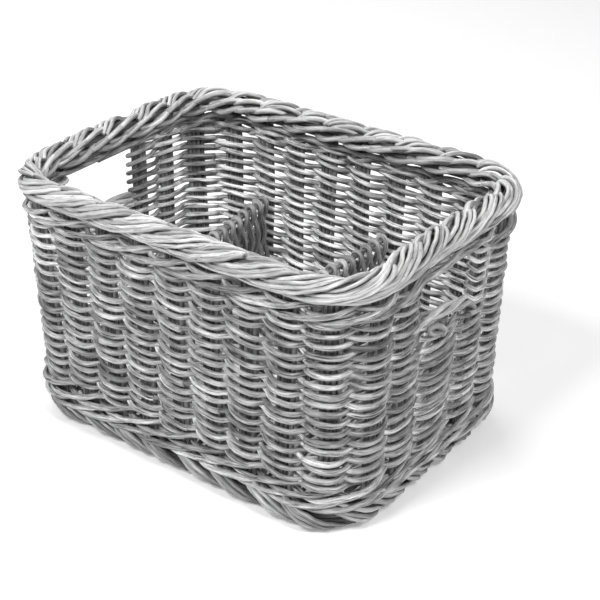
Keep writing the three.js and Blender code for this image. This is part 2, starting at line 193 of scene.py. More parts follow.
# The stretches of woven wall: name, start and end in stakes, the jamb round which the rows
# beside a hole turn back, and how far the sill above rises, where there is one
HOLE_EDGE = (JAMB_DISTANCE - HANDLE_WIDTH / 2) / JAMB_DISTANCE
WEAVE_STRETCHES = (
    ("front_weave", 19.5, 26.5, None, None),
    ("front_right_corner_weave", 26.5, 29 + HOLE_EDGE, 29, None),
    ("right_weave_under_handle", HOLE_EDGE, 2 - HOLE_EDGE, None, RIGHT_WEAVE_RISE),
    ("back_right_corner_weave", 2 - HOLE_EDGE, 4.5, 2, None),
    ("back_weave", 4.5, 12.5, None, None),
    ("back_left_corner_weave", 12.5, 15 + HOLE_EDGE, 15, None),
    ("left_weave_under_handle", 15 + HOLE_EDGE, 17 - HOLE_EDGE, None, 0.0),
    ("front_left_corner_weave", 17 - HOLE_EDGE, 19.5, 17, None),
)
LONE_ROW_JAMBS = (2, 17)  # here the lowest row beside the hole ends by itself

# A stroke of the wales along its run: climb, and distance out as a share of its reach
WALE_RUN = (0, 0.1, 0.22, 0.5, 0.667, 0.833, 1)
WALE_CLIMB = np.array([0, 0, 0.1, 0.62, 1, 0.5, 0])
WALE_OUT = (0, 0.7, 1, 0.94, 0, -0.62, 0)
WALE_CANE = 0.56
WALE_START = 0.5
WALE_STAKES = 3
WALE_DROP = 0.3 * MM
WALE_ARCH_STRAY = 0.35 * MM
WALE_RIPPLE = 0.3 * MM
WALE_REACH_STRAY = 0.25 * MM
WALE_THICKNESS_STRAY = 0.08
WALE_TONE_STRAY = 0.15

# The wales: lower and upper edge, reach out of the wall, how much they are squeezed over the
# handle holes, and how far they dip at the back right and the front left corner
UPPER_WALE = dict(
    low=WEAVE_TOP + 0.4 * MM, high=WALL_TOP + 0.6 * MM, reach=4.7 * MM, squeeze=0.84, dip=0.0
)
LOWER_WALE = dict(
    low=WALL_BOTTOM - 0.5 * MM, high=WEAVE_BOTTOM + 0.6 * MM, reach=3.7 * MM, squeeze=0.0, dip=2.5 * MM
)
LOWEST_WALE = dict(
    low=WALL_BOTTOM - 7.5 * MM, high=WALL_BOTTOM - 0.5 * MM, reach=3.2 * MM, squeeze=0.0, dip=3.2 * MM
)
SQUEEZE_START = 1.0 * MM
SQUEEZE_FADE = 14.0 * MM
DIPPED_CORNERS = np.array([[3.0], [18.5]])
DIP_RUN = 3.0
DIP_OUT = 0.7

# Filling strokes inside, just under the rim: start and run in stakes, and how they arch
FILLING_START = 0.2
FILLING_RUN = 1.35
FILLING_RUN_STRAY = 0.08
FILLING_RISE = 5.2 * MM
FILLING_SQUEEZE = 0.6
FILLING_DROP = 2.0 * MM
FILLING_SLOPE = 1.2 * MM
FILLING_HEIGHT_STRAY = 0.3 * MM
FILLING_DEPTH = 1.6 * MM
FILLING_ARCH = 3.2 * MM
FILLING_TONE = 0.95
FILLING_TONE_STRAY = 0.13

# A bundle of the rim along its run: angle round the roll, strand spacing and distance from the
# roll's middle. Each strand comes up from under the one before it by a share of the run.
RIM_RUN = np.array([0, 13, 28, 42, 56, 68, 79, 87]) * MM
RIM_ANGLE = np.radians([-42, -34, -21, -3, 22, 53, 92, 132])
RIM_SPACING = np.array([0.8, 1.1, 2.5, 3.5, 3.6, 4.0, 4.4, 4.0]) * 0.78 * MM
RIM_REACH = np.array([5.0, 6.6, 7.8, 8.4, 8.8, 9.0, 8.8, 6.2]) * MM
RIM_SUNK = ((0, 0), (0.4, 2.6 * MM), (0.55, 3.6 * MM), (0.7, 4.4 * MM))
RIM_RISE_RUN = 0.2
RIM_NOMINAL_REACH = 9.2 * MM
RIM_START = 0.7
RIM_START_STRAY = 0.07
RIM_STRAND_STRAY = 0.03
RIM_RUN_STRAY = 2.0 * MM
RIM_TURN_STRAY = math.radians(2.5)
RIM_REACH_STRAY = 0.45 * MM
RIM_REACH_RIPPLE = 0.35 * MM
RIM_SIDE_RIPPLE = 0.4 * MM
RIM_SHORT_STARTS = 0.05
RIM_SHORT_ENDS = 0.03
RIM_CANE = 0.8
RIM_TONE = 1.12
RIM_TONE_STRAY = 0.15

# Strands on the rim's inside: how many a stake and how far apart in stakes, how far each runs,
# where round the roll, in degrees, it runs and how far from the roll's middle
INNER_RIM_STRANDS = 4
INNER_RIM_PITCH = 0.5
INNER_RIM_RUN = 1.08
INNER_RIM_FIRST = 120.0
INNER_RIM_STEP = 26.0
INNER_RIM_TURN = 27.0
INNER_RIM_REACH = 3.6 * MM
INNER_RIM_ARCH = 5.5 * MM
INNER_RIM_CANE = 1.05
INNER_RIM_SPOT_STRAY = 0.08
INNER_RIM_ANGLE_STRAY = 3.0
INNER_RIM_ARCH_STRAY = 0.4 * MM
INNER_RIM_TONE_STRAY = 0.12

# Core canes inside the rim's roll, painted very dark as painted shade inside the roll
RIM_CORE_CANES = 5
RIM_CORE_REACH = 4.0 * MM
RIM_CORE_RADIUS = 2.4 * MM
RIM_CORE_PAINTED_SHADE = 0.15

# Along the front the roll is slimmer and lies a little lower and further out
SLIM_START = 20.0 * MM
SLIM_RUN = 60.0 * MM
SLIMNESS = 0.17
SLIM_OUT = 1.0 * MM
SLIM_DROP = 1.8 * MM

# A bundle of the foot along its run in stakes: height, strand spacing and distance out. The
# first two strands tuck in at a share of the run.
FOOT_RUN = np.array([0, 0.24, 0.55, 0.86, 1.14, 1.4, 1.62])
FOOT_HEIGHT = np.array([22.5, 18.4, 13.0, 8.6, 5.3, 3.2, 2.0]) * MM
FOOT_SPACING = np.array([2.4, 3.0, 3.3, 3.2, 2.9, 2.2, 1.6]) * MM
FOOT_OUT = np.array([1.2, 4.2, 5.2, 4.9, 3.8, 2.2, 0.2]) * MM
FOOT_TUCK = ((0.5, 3.4 * MM), (0.7, 3.0 * MM), (1, 0))
FOOT_TUCK_RUN = 0.2
FOOT_START = 0.1
FOOT_START_STRAY = 0.06
FOOT_STRAND_STRAY = 0.04
FOOT_RUN_STRAY = 0.08
FOOT_ARCH_STRAY = 0.6 * MM
FOOT_STRAY = 0.3 * MM
FOOT_SHORT_ENDS = 0.08
FOOT_CANE = 0.44
FOOT_GROUND = 1.13
FOOT_TONE = 0.8
FOOT_TONE_STRAY = 0.15
FOOT_CORE_OUT = -6.0 * MM
FOOT_CORE_HEIGHT = 6.0 * MM

# Towards its end a foot strand grows thinner and darker
FOOT_NEAR_START = 0.5
FOOT_NEAR_RUN = 0.4
FOOT_THINNING = 0.26
FOOT_DARKENING = 0.45

# Strands behind the foot's bundles, which run the other way down the inside
INNER_FOOT_STRANDS = 3
INNER_FOOT_START = 0.3
INNER_FOOT_STAKES = 1.6
INNER_FOOT_STRAY = 0.04
INNER_FOOT_PITCH = 2.6 * MM
INNER_FOOT_TONE = 0.62
INNER_FOOT_RUN = (0, 0.3, 0.7, 1)
INNER_FOOT_HEIGHT = np.array([24.0, 16.0, 7.0, 3.0]) * MM
INNER_FOOT_OUT = np.array([-1.0, -4.8, -5.2, -2.0]) * MM

# Rows of weaving inside the foot, painted dark as painted shade inside the foot
FOOT_ROW_HEIGHTS = np.linspace(3.0, 23.0, 7) * MM
FOOT_ROW_OUT = -1.2 * MM
FOOT_ROW_SWING = 0.5 * MM
FOOT_ROW_RADIUS = 1.75 * MM
FOOT_ROW_PAINTED_SHADE = 0.35

# Lashing of the sills: name, seed, side, middle of its hole and rise towards the front
SILLS = (
    ("right_handle_sill", 80, 1, RIGHT_HANDLE_Y, RIGHT_SILL_RISE),
    ("left_handle_sill", 81, -1, LEFT_HANDLE_Y, 0.0),
)
SILL_TONES = (1.15, 0.9, 1.0)
SILL_DROOP_SHARES = (0.6, 1.0, 0.6)
SILL_DROOP = 9.0 * MM
SILL_DROOP_START = 0.42
SILL_DROOP_RUN = 0.18
SILL_TWIST = 0.75
SILL_TWIST_LAG = 0.6
SILL_ENDS = (-0.1, 1.1)  # as shares of the hole's width
SILL_OUT = 0.8 * MM
SILL_SPREAD = 2.3 * MM
SILL_SPREAD_CHANGE = 0.3 * MM
SILL_SPREAD_WAVE = 9
SILL_CANE_RADIUS = 1.75 * MM

# The curled up end of the right sill's lashing: its place along the wall from the hole's middle,
# its height, half its length and width, how far it slants, how much smaller it winds, how far it
# starts out of the wall and how far it sinks towards it
COIL_ALONG = -12.5 * MM
COIL_HEIGHT = 112.5 * MM
COIL_HALF_LENGTH = 9.5 * MM
COIL_HALF_WIDTH = 3.4 * MM
COIL_SLANT = 4.2 * MM
COIL_TURNS = (-0.15, 1.35)
COIL_SHRINK = 0.35
COIL_OUT = 5.6 * MM
COIL_SINK = 1.8 * MM
COIL_CANE_RADIUS = 1.5 * MM
COIL_TONE = 0.85

# Base: canes over and under five sticks
STICK_COUNT = 5
STICK_PITCH = 29.0 * MM
STICK_RADIUS = 1.6 * MM
BASE_CANE_PITCH = 3.1 * MM
BASE_CANE_RADIUS = 1.55 * MM
BASE_SWING = 2.75 * MM

# Dividers: place along the length and turn in plan in degrees
DIVIDERS = (("left_divider", -57.0 * MM, 9.0), ("right_divider", 31.0 * MM, 0.0))
DIVIDER_ROD_HEIGHTS = np.array([101.5, 79.5, 57.5, 35.5]) * MM
DIVIDER_ROD_RADIUS = 1.5 * MM
DIVIDER_BOTTOM = 26.8 * MM
DIVIDER_TO_WALL = 5.4 * MM
DIVIDER_SWING = 3.1 * MM
DIVIDER_CANE_RADIUS = 1.75 * MM
LOOP_PLACE_STRAY = 0.012
LOOP_LIFT_STRAY = 0.5 * MM
LOOP_SPLAY = 2.0 * MM
LOOP_SPLAY_STRAY = 0.7 * MM
LOOP_SPLAY_RUN = 12.0 * MM
LOOP_LEAN_STRAY = 1.2 * MM
LOOP_LEAN_RUN = 30.0 * MM
# Painted light: divider canes are painted paler near the top rod and darker lower down, where shade
# falls
DIVIDER_TONE = 0.68
DIVIDER_TOP_PAINTED_LIGHT = 0.5
DIVIDER_TONE_FADE = 11.0 * MM

# Stage, in metres and watts: lamps by name, place, width and power, and what they look at
LAMPS = (
    ("key", (-0.1, -1.1, 1.45), 0.42, 16.5),
    ("right", (1.2, -0.25, 1.5), 0.42, 13.5),
    ("back", (-1.05, 0.6, 1.3), 1.0, 9.0),
)
LIT_PLACE = Vector((0, 0, 0.08))
WORLD_LIGHT = 0.2
FLOOR_GLOW = 0.26
FLOOR_HALF = 6.0
CAMERA_PLACE = Vector((0.49418, -0.62518, 0.51282))
CAMERA_TARGET = Vector((0.02318, 0.00442, 0.0875))
CAMERA_ROLL = math.radians(0.74)
CAMERA_LENS = 84.05  # millimetres


class BasketSizes(bpy.types.PropertyGroup):
    """Sizes of the canes and of what they make."""

    cane_diameter: FloatProperty(
        name="Weaving cane", description="Diameter of the canes that weave the walls",
        default=3.2 * MM, min=1.0 * MM, max=5.0 * MM, unit="LENGTH",
    )
    row_pitch: FloatProperty(
        name="Row pitch", description="Height that the weaving rises in one turn",
        default=3.2 * MM, min=1.5 * MM, max=6.0 * MM, unit="LENGTH",
    )
    weave_swing: FloatProperty(
        name="Weave swing", description="How far a cane swings out and in as it passes the stakes",
        default=3.35 * MM, min=1.0 * MM, max=6.0 * MM, unit="LENGTH",
    )
    stake_cane_diameter: FloatProperty(
        name="Stake cane", description="Diameter of each cane in a stake",
        default=3.35 * MM, min=1.0 * MM, max=5.0 * MM, unit="LENGTH",
    )
    border_cane_diameter: FloatProperty(
        name="Border cane", description="Diameter of the canes in the rim and the foot",
        default=3.6 * MM, min=1.0 * MM, max=5.0 * MM, unit="LENGTH",
    )
    divider_loops: IntProperty(
        name="Divider loops", description="Canes looped over the top rod of each divider",
        default=19, min=8, max=60,
    )
    wander: FloatProperty(
        name="Hand's wander", description="How far rows and stakes stray from straight lines",
        default=0.9 * MM, min=0.0, max=3.0 * MM, unit="LENGTH",
    )


class BasketColours(bpy.types.PropertyGroup):
    """Colours of the canes and of the stage."""

    weaving: FloatVectorProperty(
        name="Weaving canes", description="Colour of the canes in the walls",
        default=(0.5, 0.5, 0.5), min=0.0, max=1.0, subtype="COLOR",
    )
    # Painted shade: darker than the weaving canes, standing in for the shade of the weave round the
    # stakes
    stakes: FloatVectorProperty(
        name="Stake canes", description="Colour of the upright canes",
        default=(0.23, 0.23, 0.23), min=0.0, max=1.0, subtype="COLOR",
    )
    borders: FloatVectorProperty(
        name="Border canes", description="Colour of the canes in the rim and foot",
        default=(0.6, 0.6, 0.6), min=0.0, max=1.0, subtype="COLOR",
    )
    dividers: FloatVectorProperty(
        name="Divider canes", description="Colour of the canes in the dividers",
        default=(0.42, 0.42, 0.42), min=0.0, max=1.0, subtype="COLOR",
    )
    floor: FloatVectorProperty(
        name="Floor", description="Colour of the floor",
        default=(0.92, 0.92, 0.92), min=0.0, max=1.0, subtype="COLOR",
    )


# Plan geometry


def outline_runs(outline):
    """Lengths of the straight and round runs, counter-clockwise from the middle of the front."""
    half_x, half_y, radius = outline
    flat_x, flat_y, arc = half_x - radius, half_y - radius, radius * QUARTER
    return np.array([flat_x, arc, 2 * flat_y, arc, 2 * flat_x, arc, 2 * flat_y, arc, flat_x])


WALL_RUNS = outline_runs(WALL_AT_TOP)
GIRTH = float(WALL_RUNS.sum())


def outline_at(outline, length, out):
    """Points and outward normals in plan at lengths along the top of the wall, moved out."""
    ends = np.cumsum(WALL_RUNS)
    rest = np.mod(length, GIRTH)
    last_run = len(WALL_RUNS) - 1
    run = np.minimum(np.searchsorted(ends, rest, side="left"), last_run)
    share = np.clip((rest - (ends - WALL_RUNS)[run]) / WALL_RUNS[run], 0, 1)
    half_x, half_y, radius = np.moveaxis(np.broadcast_to(outline, rest.shape + (3,)), -1, 0)
    side = (run // 2) % 4
    faces_y = side % 2 == 0
    corner = run % 2 == 1
    reach = np.where(faces_y, half_y, half_x)
    flat = np.where(faces_y, half_x, half_y) - radius
    side_angle = (side - 1) * QUARTER
    angle = side_angle + np.where(corner, share * QUARTER, 0)
    first = np.where(run == 0, 0, -flat)
    last = np.where(run == last_run, 0, flat)
    along = np.where(corner, flat, first + (last - first) * share)
    base = reach - np.where(corner, radius, 0)
    beyond = out + np.where(corner, radius, 0)
    cos_side, sin_side = np.cos(side_angle), np.sin(side_angle)
    normal = np.stack([np.cos(angle), np.sin(angle)], -1)
    x = cos_side * base - sin_side * along + normal[..., 0] * beyond
    y = sin_side * base + cos_side * along + normal[..., 1] * beyond
    return np.stack([x, y], -1), normal


def wall_outline(height):
    """The wall's middle surface at each height: it leans out in a straight line."""
    share = (np.asarray(height) - WALL_BOTTOM) / (WALL_TOP - WALL_BOTTOM)
    return WALL_AT_BOTTOM + (WALL_AT_TOP - WALL_AT_BOTTOM) * share[..., None]


def stake_lengths():
    """Length along the wall of every stake, from the one before the right handle hole."""
    half_side = WALL_RUNS[2] / 2
    right_middle = WALL_RUNS[0] + WALL_RUNS[1] + half_side
    right = right_middle + RIGHT_HANDLE_Y
    left = GIRTH - right_middle - LEFT_HANDLE_Y
    back = np.linspace(right + JAMB_DISTANCE, left - JAMB_DISTANCE, BACK_STAKES + 2)
    front = np.linspace(left + JAMB_DISTANCE, right - JAMB_DISTANCE + GIRTH, FRONT_STAKES + 2)
    lengths = [right - JAMB_DISTANCE, right, *back[:-1], left - JAMB_DISTANCE, left, *front[:-1]]
    return np.array(lengths)


STAKES = stake_lengths()
STAKE_COUNT = len(STAKES)
STAKE_PITCH = GIRTH / STAKE_COUNT


def station(spot):
    """Length along the wall at a stake number, which may lie between two stakes."""
    turns = np.floor(np.asarray(spot) / STAKE_COUNT)
    knots = np.append(STAKES, STAKES[0] + GIRTH)
    return np.interp(spot - turns * STAKE_COUNT, np.arange(STAKE_COUNT + 1), knots) + turns * GIRTH


def ripple(x, seed, wavelength):
    """Smooth even noise from about -1 to 1 along x, the same for the same seed."""
    phases = np.random.default_rng(seed).random(3)
    scales = (1.0, 0.47, 0.23)
    waves = [s * np.sin(2 * math.pi * (x / (wavelength * s) + p)) for s, p in zip(scales, phases)]
    return sum(waves) / sum(scales)


def strayed(length, height, wander):
    """Length and height as the maker's hand left them, the same for canes and stakes."""
    middle = (height - WALL_BOTTOM) / (WALL_TOP - WALL_BOTTOM)
    amount = wander * np.clip(4 * middle * (1 - middle), 0, 1)
    turn, level = 2 * math.pi * length / GIRTH, height / WALL_TOP
    side, lift = (
        sum(size * np.sin(across * turn + up * level + start) for size, across, up, start in waves)
        for waves in (SIDE_STRAY, LIFT_STRAY)
    )
    return length + amount * side, height + amount * lift


def points_at(outline, length, height, out):
    """Points of a cane at lengths along an outline, heights and distances out of it."""
    plan, _ = outline_at(outline, length, out)
    return np.column_stack([plan, height])


def wall_points(length, height, out, wander):
    """Points of a cane on the wall at lengths, heights and distances out of its middle."""
    length, height = strayed(length, height, wander)
    return points_at(wall_outline(height), length, height, out)


def smooth_step(share):
    """0 to 1 along a share, with a level start and end."""
    share = np.clip(share, 0, 1)
    return share**2 * (3 - 2 * share)


def eased(share, knots, values):
    """A smooth line through values at knots."""
    knots, values = np.asarray(knots, float), np.asarray(values, float)
    place = np.clip(np.searchsorted(knots, share, side="right") - 1, 0, len(knots) - 2)
    slopes = np.gradient(values, knots)
    width = knots[place + 1] - knots[place]
    part = np.clip((share - knots[place]) / width, 0, 1)
    rise = width * slopes[place] * (part**3 - 2 * part**2 + part)
    fall = width * slopes[place + 1] * (part**3 - part**2)
    blend = smooth_step(part)
    return values[place] * (1 - blend) + values[place + 1] * blend + rise + fall


# Canes and their meshes


class Canes:
    """A growing list of canes: at each point of each its place, radius, tone, run and way out."""

    def __init__(self, seed):
        self.random = np.random.default_rng(seed)
        self.seed = seed
        self.list = []

    def stray(self, count=None, most=2.0):
        """Chance amounts round 0, mostly within 1 either way and never past most."""
        return np.clip(self.random.standard_normal(count), -most, most)

    def add(self, points, radius, tone=1.0, spread=0.16, drift=0.26, core=None):
        """Adds a cane whose thickness and tone drift along it as real ones do.

        Core is the line that the cane is laid on, where it isn't laid on an upright wall.
        """
        points = np.asarray(points, float)
        steps = np.linalg.norm(np.diff(points, axis=0), axis=1)
        along = np.concatenate([[0], np.cumsum(steps)])
        seed = self.seed * 1000 + len(self.list)
        thickness = radius * (1 + THICKNESS_SPREAD * self.stray())
        thickness = thickness * (1 + THICKNESS_DRIFT * ripple(along, seed, THICKNESS_WAVE))
        own = 1 + spread * self.stray()
        slow = ripple(along, seed + 7, SLOW_TONE_WAVE)
        quick = ripple(along, seed + 9, QUICK_TONE_WAVE)
        own = own * (1 + drift * slow) * (1 + QUICK_TONE_SHARE * drift * quick)
        own = tone * (own - HELD_BACK * np.maximum(own - PALEST_TONE, 0))
        out = np.zeros_like(points)
        if core is not None:
            out = points - core
            out /= np.linalg.norm(out, axis=1, keepdims=True)
        self.list.append((points, thickness, own, along, out))


def cane_mesh(name, canes, facets):
    """One mesh of round canes, with the run along each cane and its tone, painted shade included, kept
    for the material.
    """
    curve = bpy.data.curves.new(name, "CURVE")
    curve.dimensions = "3D"
    curve.bevel_depth = MM
    # A bevel has four sides at a resolution of 0 and two more with each step
    curve.bevel_resolution = (facets - 4) // 2
    curve.use_fill_caps = True
    for points, thickness, *_ in canes.list:
        spline = curve.splines.new("POLY")
        spline.points.add(len(points) - 1)
        four = np.column_stack([points, np.ones(len(points))]).astype(np.float32)
        spline.points.foreach_set("co", four.ravel())
        spline.points.foreach_set("radius", (thickness / MM).astype(np.float32))
    shown = bpy.data.objects.new(name, curve)
    bpy.context.scene.collection.objects.link(shown)
    ready = shown.evaluated_get(bpy.context.evaluated_depsgraph_get())
    mesh = bpy.data.meshes.new_from_object(ready)
    bpy.data.objects.remove(shown)
    bpy.data.curves.remove(curve)
    mark_canes(mesh, canes, facets)
    close_ends(mesh)
    mesh.name = name
    return mesh


def ring_places(canes):
    """The cane and the step along it of each ring of points that a curve's mesh has.

    The closed ends come first, the last cane's before the first's, and then every cane's rings.
    """
    rings = [(index, step) for index in reversed(range(len(canes.list))) for step in (-1, 0)]
    for index, (points, *_) in enumerate(canes.list):
        rings += [(index, step) for step in range(len(points))]
    return np.array(rings).T


def mark_canes(mesh, canes, facets):
    """Keeps at each point of the mesh its place in the cane's fibre and the cane's tone there, darkened
    on its flanks as painted shade.
    """
    shifts = canes.random.random((len(canes.list), 3)) * FIBRE_SHIFT
    owner, step = ring_places(canes)
    starts = np.cumsum([0] + [len(points) for points, *_ in canes.list])
    ring = np.where(step < 0, starts[owner + 1] - 1, starts[owner] + step)
    if len(mesh.vertices) != len(ring) * facets:
        raise RuntimeError(f"{mesh.name}: {len(mesh.vertices)} points for {len(ring)} rings")
    columns = [np.concatenate(column)[ring][:, None] for column in zip(*canes.list)]
    points, thickness, tone, along, out = columns
    turn = np.arange(facets) * 2 * math.pi / facets
    fibre = np.stack([along + 0 * turn, thickness * np.cos(turn), thickness * np.sin(turn)], -1)
    fibre = fibre + shifts[owner][:, None]
    spots = np.empty(len(mesh.vertices) * 3, np.float32)
    mesh.vertices.foreach_get("co", spots)
    normal = (spots.reshape(len(ring), facets, 3) - points) / thickness[..., None]
    # Painted shade: a cane's flanks are darkened where they face away from the surface it is laid on, or
    # up and down on an upright wall, as if shaded by its neighbours
    laid = np.abs(out).sum(-1) > 0
    level = np.hypot(normal[..., 0], normal[..., 1])
    facing = np.where(laid, np.abs((normal * out).sum(-1)), level)
    depth = np.where(laid, BORDER_PAINTED_SHADE, WALL_PAINTED_SHADE)
    painted_shade = depth * (1 - np.clip((facing - DARKEST_FACING) / PAINTED_SHADE_FADE, 0, 1))
    for name, kind, field, values in (
        ("fibre", "FLOAT_VECTOR", "vector", fibre),
        ("tone", "FLOAT", "value", tone * (1 - painted_shade)),
    ):
        layer = mesh.attributes.new(name, kind, "POINT")
        layer.data.foreach_set(field, values.astype(np.float32).ravel())


def close_ends(mesh):
    """Joins each flat end to its cane and keeps its edge crisp."""
    shape = bmesh.new()
    shape.from_mesh(mesh)
    for face in shape.faces:
        face.smooth = len(face.verts) == 4
    bmesh.ops.remove_doubles(shape, verts=shape.verts, dist=1e-7)
    shape.to_mesh(mesh)
    shape.free()


def cane_piece(name, canes, slot, nodes, facets=6):
    """A finished piece of canes that stands for the named solids and moves with the basket."""
    piece = bpy.data.objects.new(name, cane_mesh(name, canes, facets))
    bpy.context.scene.collection.objects.link(piece)
    piece.data.materials.append(material_for(slot))
    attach(piece, "root")
    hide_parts(*nodes)


# Materials


def new_socket(group, name, kind, in_out, default=None):
    """Adds a named input or output to a node group."""
    socket = group.interface.new_socket(name=name, in_out=in_out, socket_type=kind)
    if default is not None:
        socket.default_value = default


def math_node(tree, operation, first, second, clamp=False):
    """A math node fed by sockets or numbers."""
    node = tree.nodes.new("ShaderNodeMath")
    node.operation = operation
    node.use_clamp = clamp
    for value, socket in zip((first, second), node.inputs):
        if isinstance(value, (int, float)):
            socket.default_value = value
        else:
            tree.links.new(value, socket)
    return node.outputs[0]


def ramp(tree, value, low, high, to_low, to_high):
    """A value taken from one range to another and held there."""
    node = tree.nodes.new("ShaderNodeMapRange")
    node.clamp = True
    tree.links.new(value, node.inputs["Value"])
    edges = {"From Min": low, "From Max": high, "To Min": to_low, "To Max": to_high}
    for name, number in edges.items():
        node.inputs[name].default_value = number
    return node.outputs["Result"]


def marks(tree, fibre, stretch, detail, roughness, edges):
    """Marks drawn out along the cane: stretch is their count per metre along and across it."""
    scale = tree.nodes.new("ShaderNodeVectorMath")
    scale.operation = "MULTIPLY"
    scale.inputs[1].default_value = (stretch[0], stretch[1], stretch[1])
    tree.links.new(fibre, scale.inputs[0])
    node = tree.nodes.new("ShaderNodeTexNoise")
    node.inputs["Scale"].default_value = 1.0
    node.inputs["Detail"].default_value = detail
    node.inputs["Roughness"].default_value = roughness
    tree.links.new(scale.outputs[0], node.inputs["Vector"])
    return ramp(tree, node.outputs["Fac"], *edges)


def camera_rays(tree):
    """1 for the rays in which the stage itself is seen, 0 for those that light the basket."""
    path = tree.nodes.new("ShaderNodeLightPath")
    seen = math_node(tree, "MAXIMUM", path.outputs["Is Camera Ray"], path.outputs["Is Glossy Ray"])
    return math_node(tree, "MAXIMUM", seen, path.outputs["Is Transmission Ray"])


def cane_finish_group():
    """Weathered rattan core: fine lengthwise fibres, grey-wash worn off in patches, dark scuffs; the
    tone attribute under them also carries painted shade.
    """
    group = bpy.data.node_groups.new("Weathered cane with painted shade", "ShaderNodeTree")
    new_socket(group, "Colour", "NodeSocketColor", "INPUT", (0.5, 0.5, 0.5, 1))
    new_socket(group, "Fibre contrast", "NodeSocketFloat", "INPUT", 0.3)
    new_socket(group, "Patchiness", "NodeSocketFloat", "INPUT", 0.3)
    new_socket(group, "Colour", "NodeSocketColor", "OUTPUT")
    new_socket(group, "Roughness", "NodeSocketFloat", "OUTPUT")
    new_socket(group, "Height", "NodeSocketFloat", "OUTPUT")
    enter = group.nodes.new("NodeGroupInput")
    leave = group.nodes.new("NodeGroupOutput")
    fibre = group.nodes.new("ShaderNodeAttribute")
    fibre.attribute_name = "fibre"
    # The cane's tone, which includes the painted shade on its flanks
    tone = group.nodes.new("ShaderNodeAttribute")
    tone.attribute_name = "tone"
    streaks, strands, patches, scuffs, splits = (
        marks(group, fibre.outputs["Vector"], *settings)
        for settings in (STREAKS, STRANDS, PATCHES, SCUFFS, SPLITS)
    )
    both = math_node(group, "ADD", streaks, math_node(group, "MULTIPLY", strands, STRAND_SHARE))
    fibres = math_node(group, "MULTIPLY", both, enter.outputs["Fibre contrast"])
    worn = math_node(group, "MULTIPLY", patches, enter.outputs["Patchiness"])
    dark = math_node(group, "ADD", scuffs, splits)
    change = math_node(group, "ADD", math_node(group, "ADD", fibres, worn), dark)
    level = math_node(group, "MULTIPLY", math_node(group, "ADD", change, 1.0), tone.outputs["Fac"])
    level = math_node(group, "MAXIMUM", level, DARKEST_LEVEL)
    paint = group.nodes.new("ShaderNodeVectorMath")
    paint.operation = "SCALE"
    group.links.new(enter.outputs["Colour"], paint.inputs[0])
    group.links.new(level, paint.inputs["Scale"])
    group.links.new(paint.outputs[0], leave.inputs["Colour"])
    group.links.new(ramp(group, both, -1.5, 1.5, 0.74, 0.5), leave.inputs["Roughness"])
    group.links.new(ramp(group, both, -1.6, 1.6, 0.0, 1.0), leave.inputs["Height"])
    return group


def cane_material(name, colour, contrast, patchiness):
    """A cane's material: the shared finish in its own colour."""
    material = bpy.data.materials.new(name)
    material.use_nodes = True
    tree = material.node_tree
    shader = tree.nodes["Principled BSDF"]
    finish = tree.nodes.new("ShaderNodeGroup")
    finish.node_tree = bpy.data.node_groups.get("Weathered cane with painted shade") or cane_finish_group()
    finish.inputs["Colour"].default_value = (*colour, 1)
    finish.inputs["Fibre contrast"].default_value = contrast
    finish.inputs["Patchiness"].default_value = patchiness
    bump = tree.nodes.new("ShaderNodeBump")
    bump.inputs["Strength"].default_value = 0.5
    bump.inputs["Distance"].default_value = 0.32 * MM
    tree.links.new(finish.outputs["Height"], bump.inputs["Height"])
    tree.links.new(bump.outputs["Normal"], shader.inputs["Normal"])
    tree.links.new(finish.outputs["Colour"], shader.inputs["Base Color"])
    tree.links.new(finish.outputs["Roughness"], shader.inputs["Roughness"])
    shader.inputs["Specular IOR Level"].default_value = 0.35
    return material


def material_for(kind):
    """The material of one kind of cane, made when first asked for."""
    colours = bpy.context.scene.basket_colours
    # Colour, contrast of the fibres and patchiness of each kind
    kinds = {
        "weaving_cane": (colours.weaving, 0.46, 0.26),
        "stake_cane": (colours.stakes, 0.3, 0.3),
        "border_cane": (colours.borders, 0.22, 0.2),
        "divider_cane": (colours.dividers, 0.26, 0.22),
    }
    name = f"weathered_painted_shade_{kind}"
    return bpy.data.materials.get(name) or cane_material(name, *kinds[kind])


# Walls


def steps_between(start, end):
    """Stake numbers from start to end, a few for each stake."""
    count = max(round(abs(end - start) * STEPS_PER_STAKE), 2)
    return np.linspace(start, end, count + 1)


def row_height(row, spot, sizes):
    """Height of a row at a stake number: the canes climb one pitch a turn."""
    return WEAVE_BOTTOM + sizes.row_pitch * (row + 0.5 + spot / STAKE_COUNT)


def row_wave(row, spot):
    """1 where a row is furthest out, before a stake, and -1 where it is behind one."""
    phase = math.pi * (spot + row + SWING_LEAD + SWING_STRAY * pass_noise(row, spot + 0.5, SWING_SEED))
    return np.tanh(SWING_SQUARENESS * np.cos(phase)) / math.tanh(SWING_SQUARENESS)


def pass_noise(row, spot, seed):
    """Noise from -1 to 1 with a value for each row at each stake, run on from turn to turn."""
    values = np.random.default_rng(seed).uniform(-1, 1, (len(ROWS) + 2 * SPARE_ROWS) * STAKE_COUNT)
    place = (row - ROWS.start + SPARE_ROWS) * STAKE_COUNT + spot
    return np.interp(place, np.arange(len(values)), values)


def slackness(row, spot):
    """1 where a row beside the right hole is slackest, past the back jamb, fading to 0."""
    share = np.clip((np.asarray(spot) - SLACK_START) / SLACK_RUN, 0, 1)
    return np.sin(math.pi * share) * (row > LAST_TIGHT_ROW)


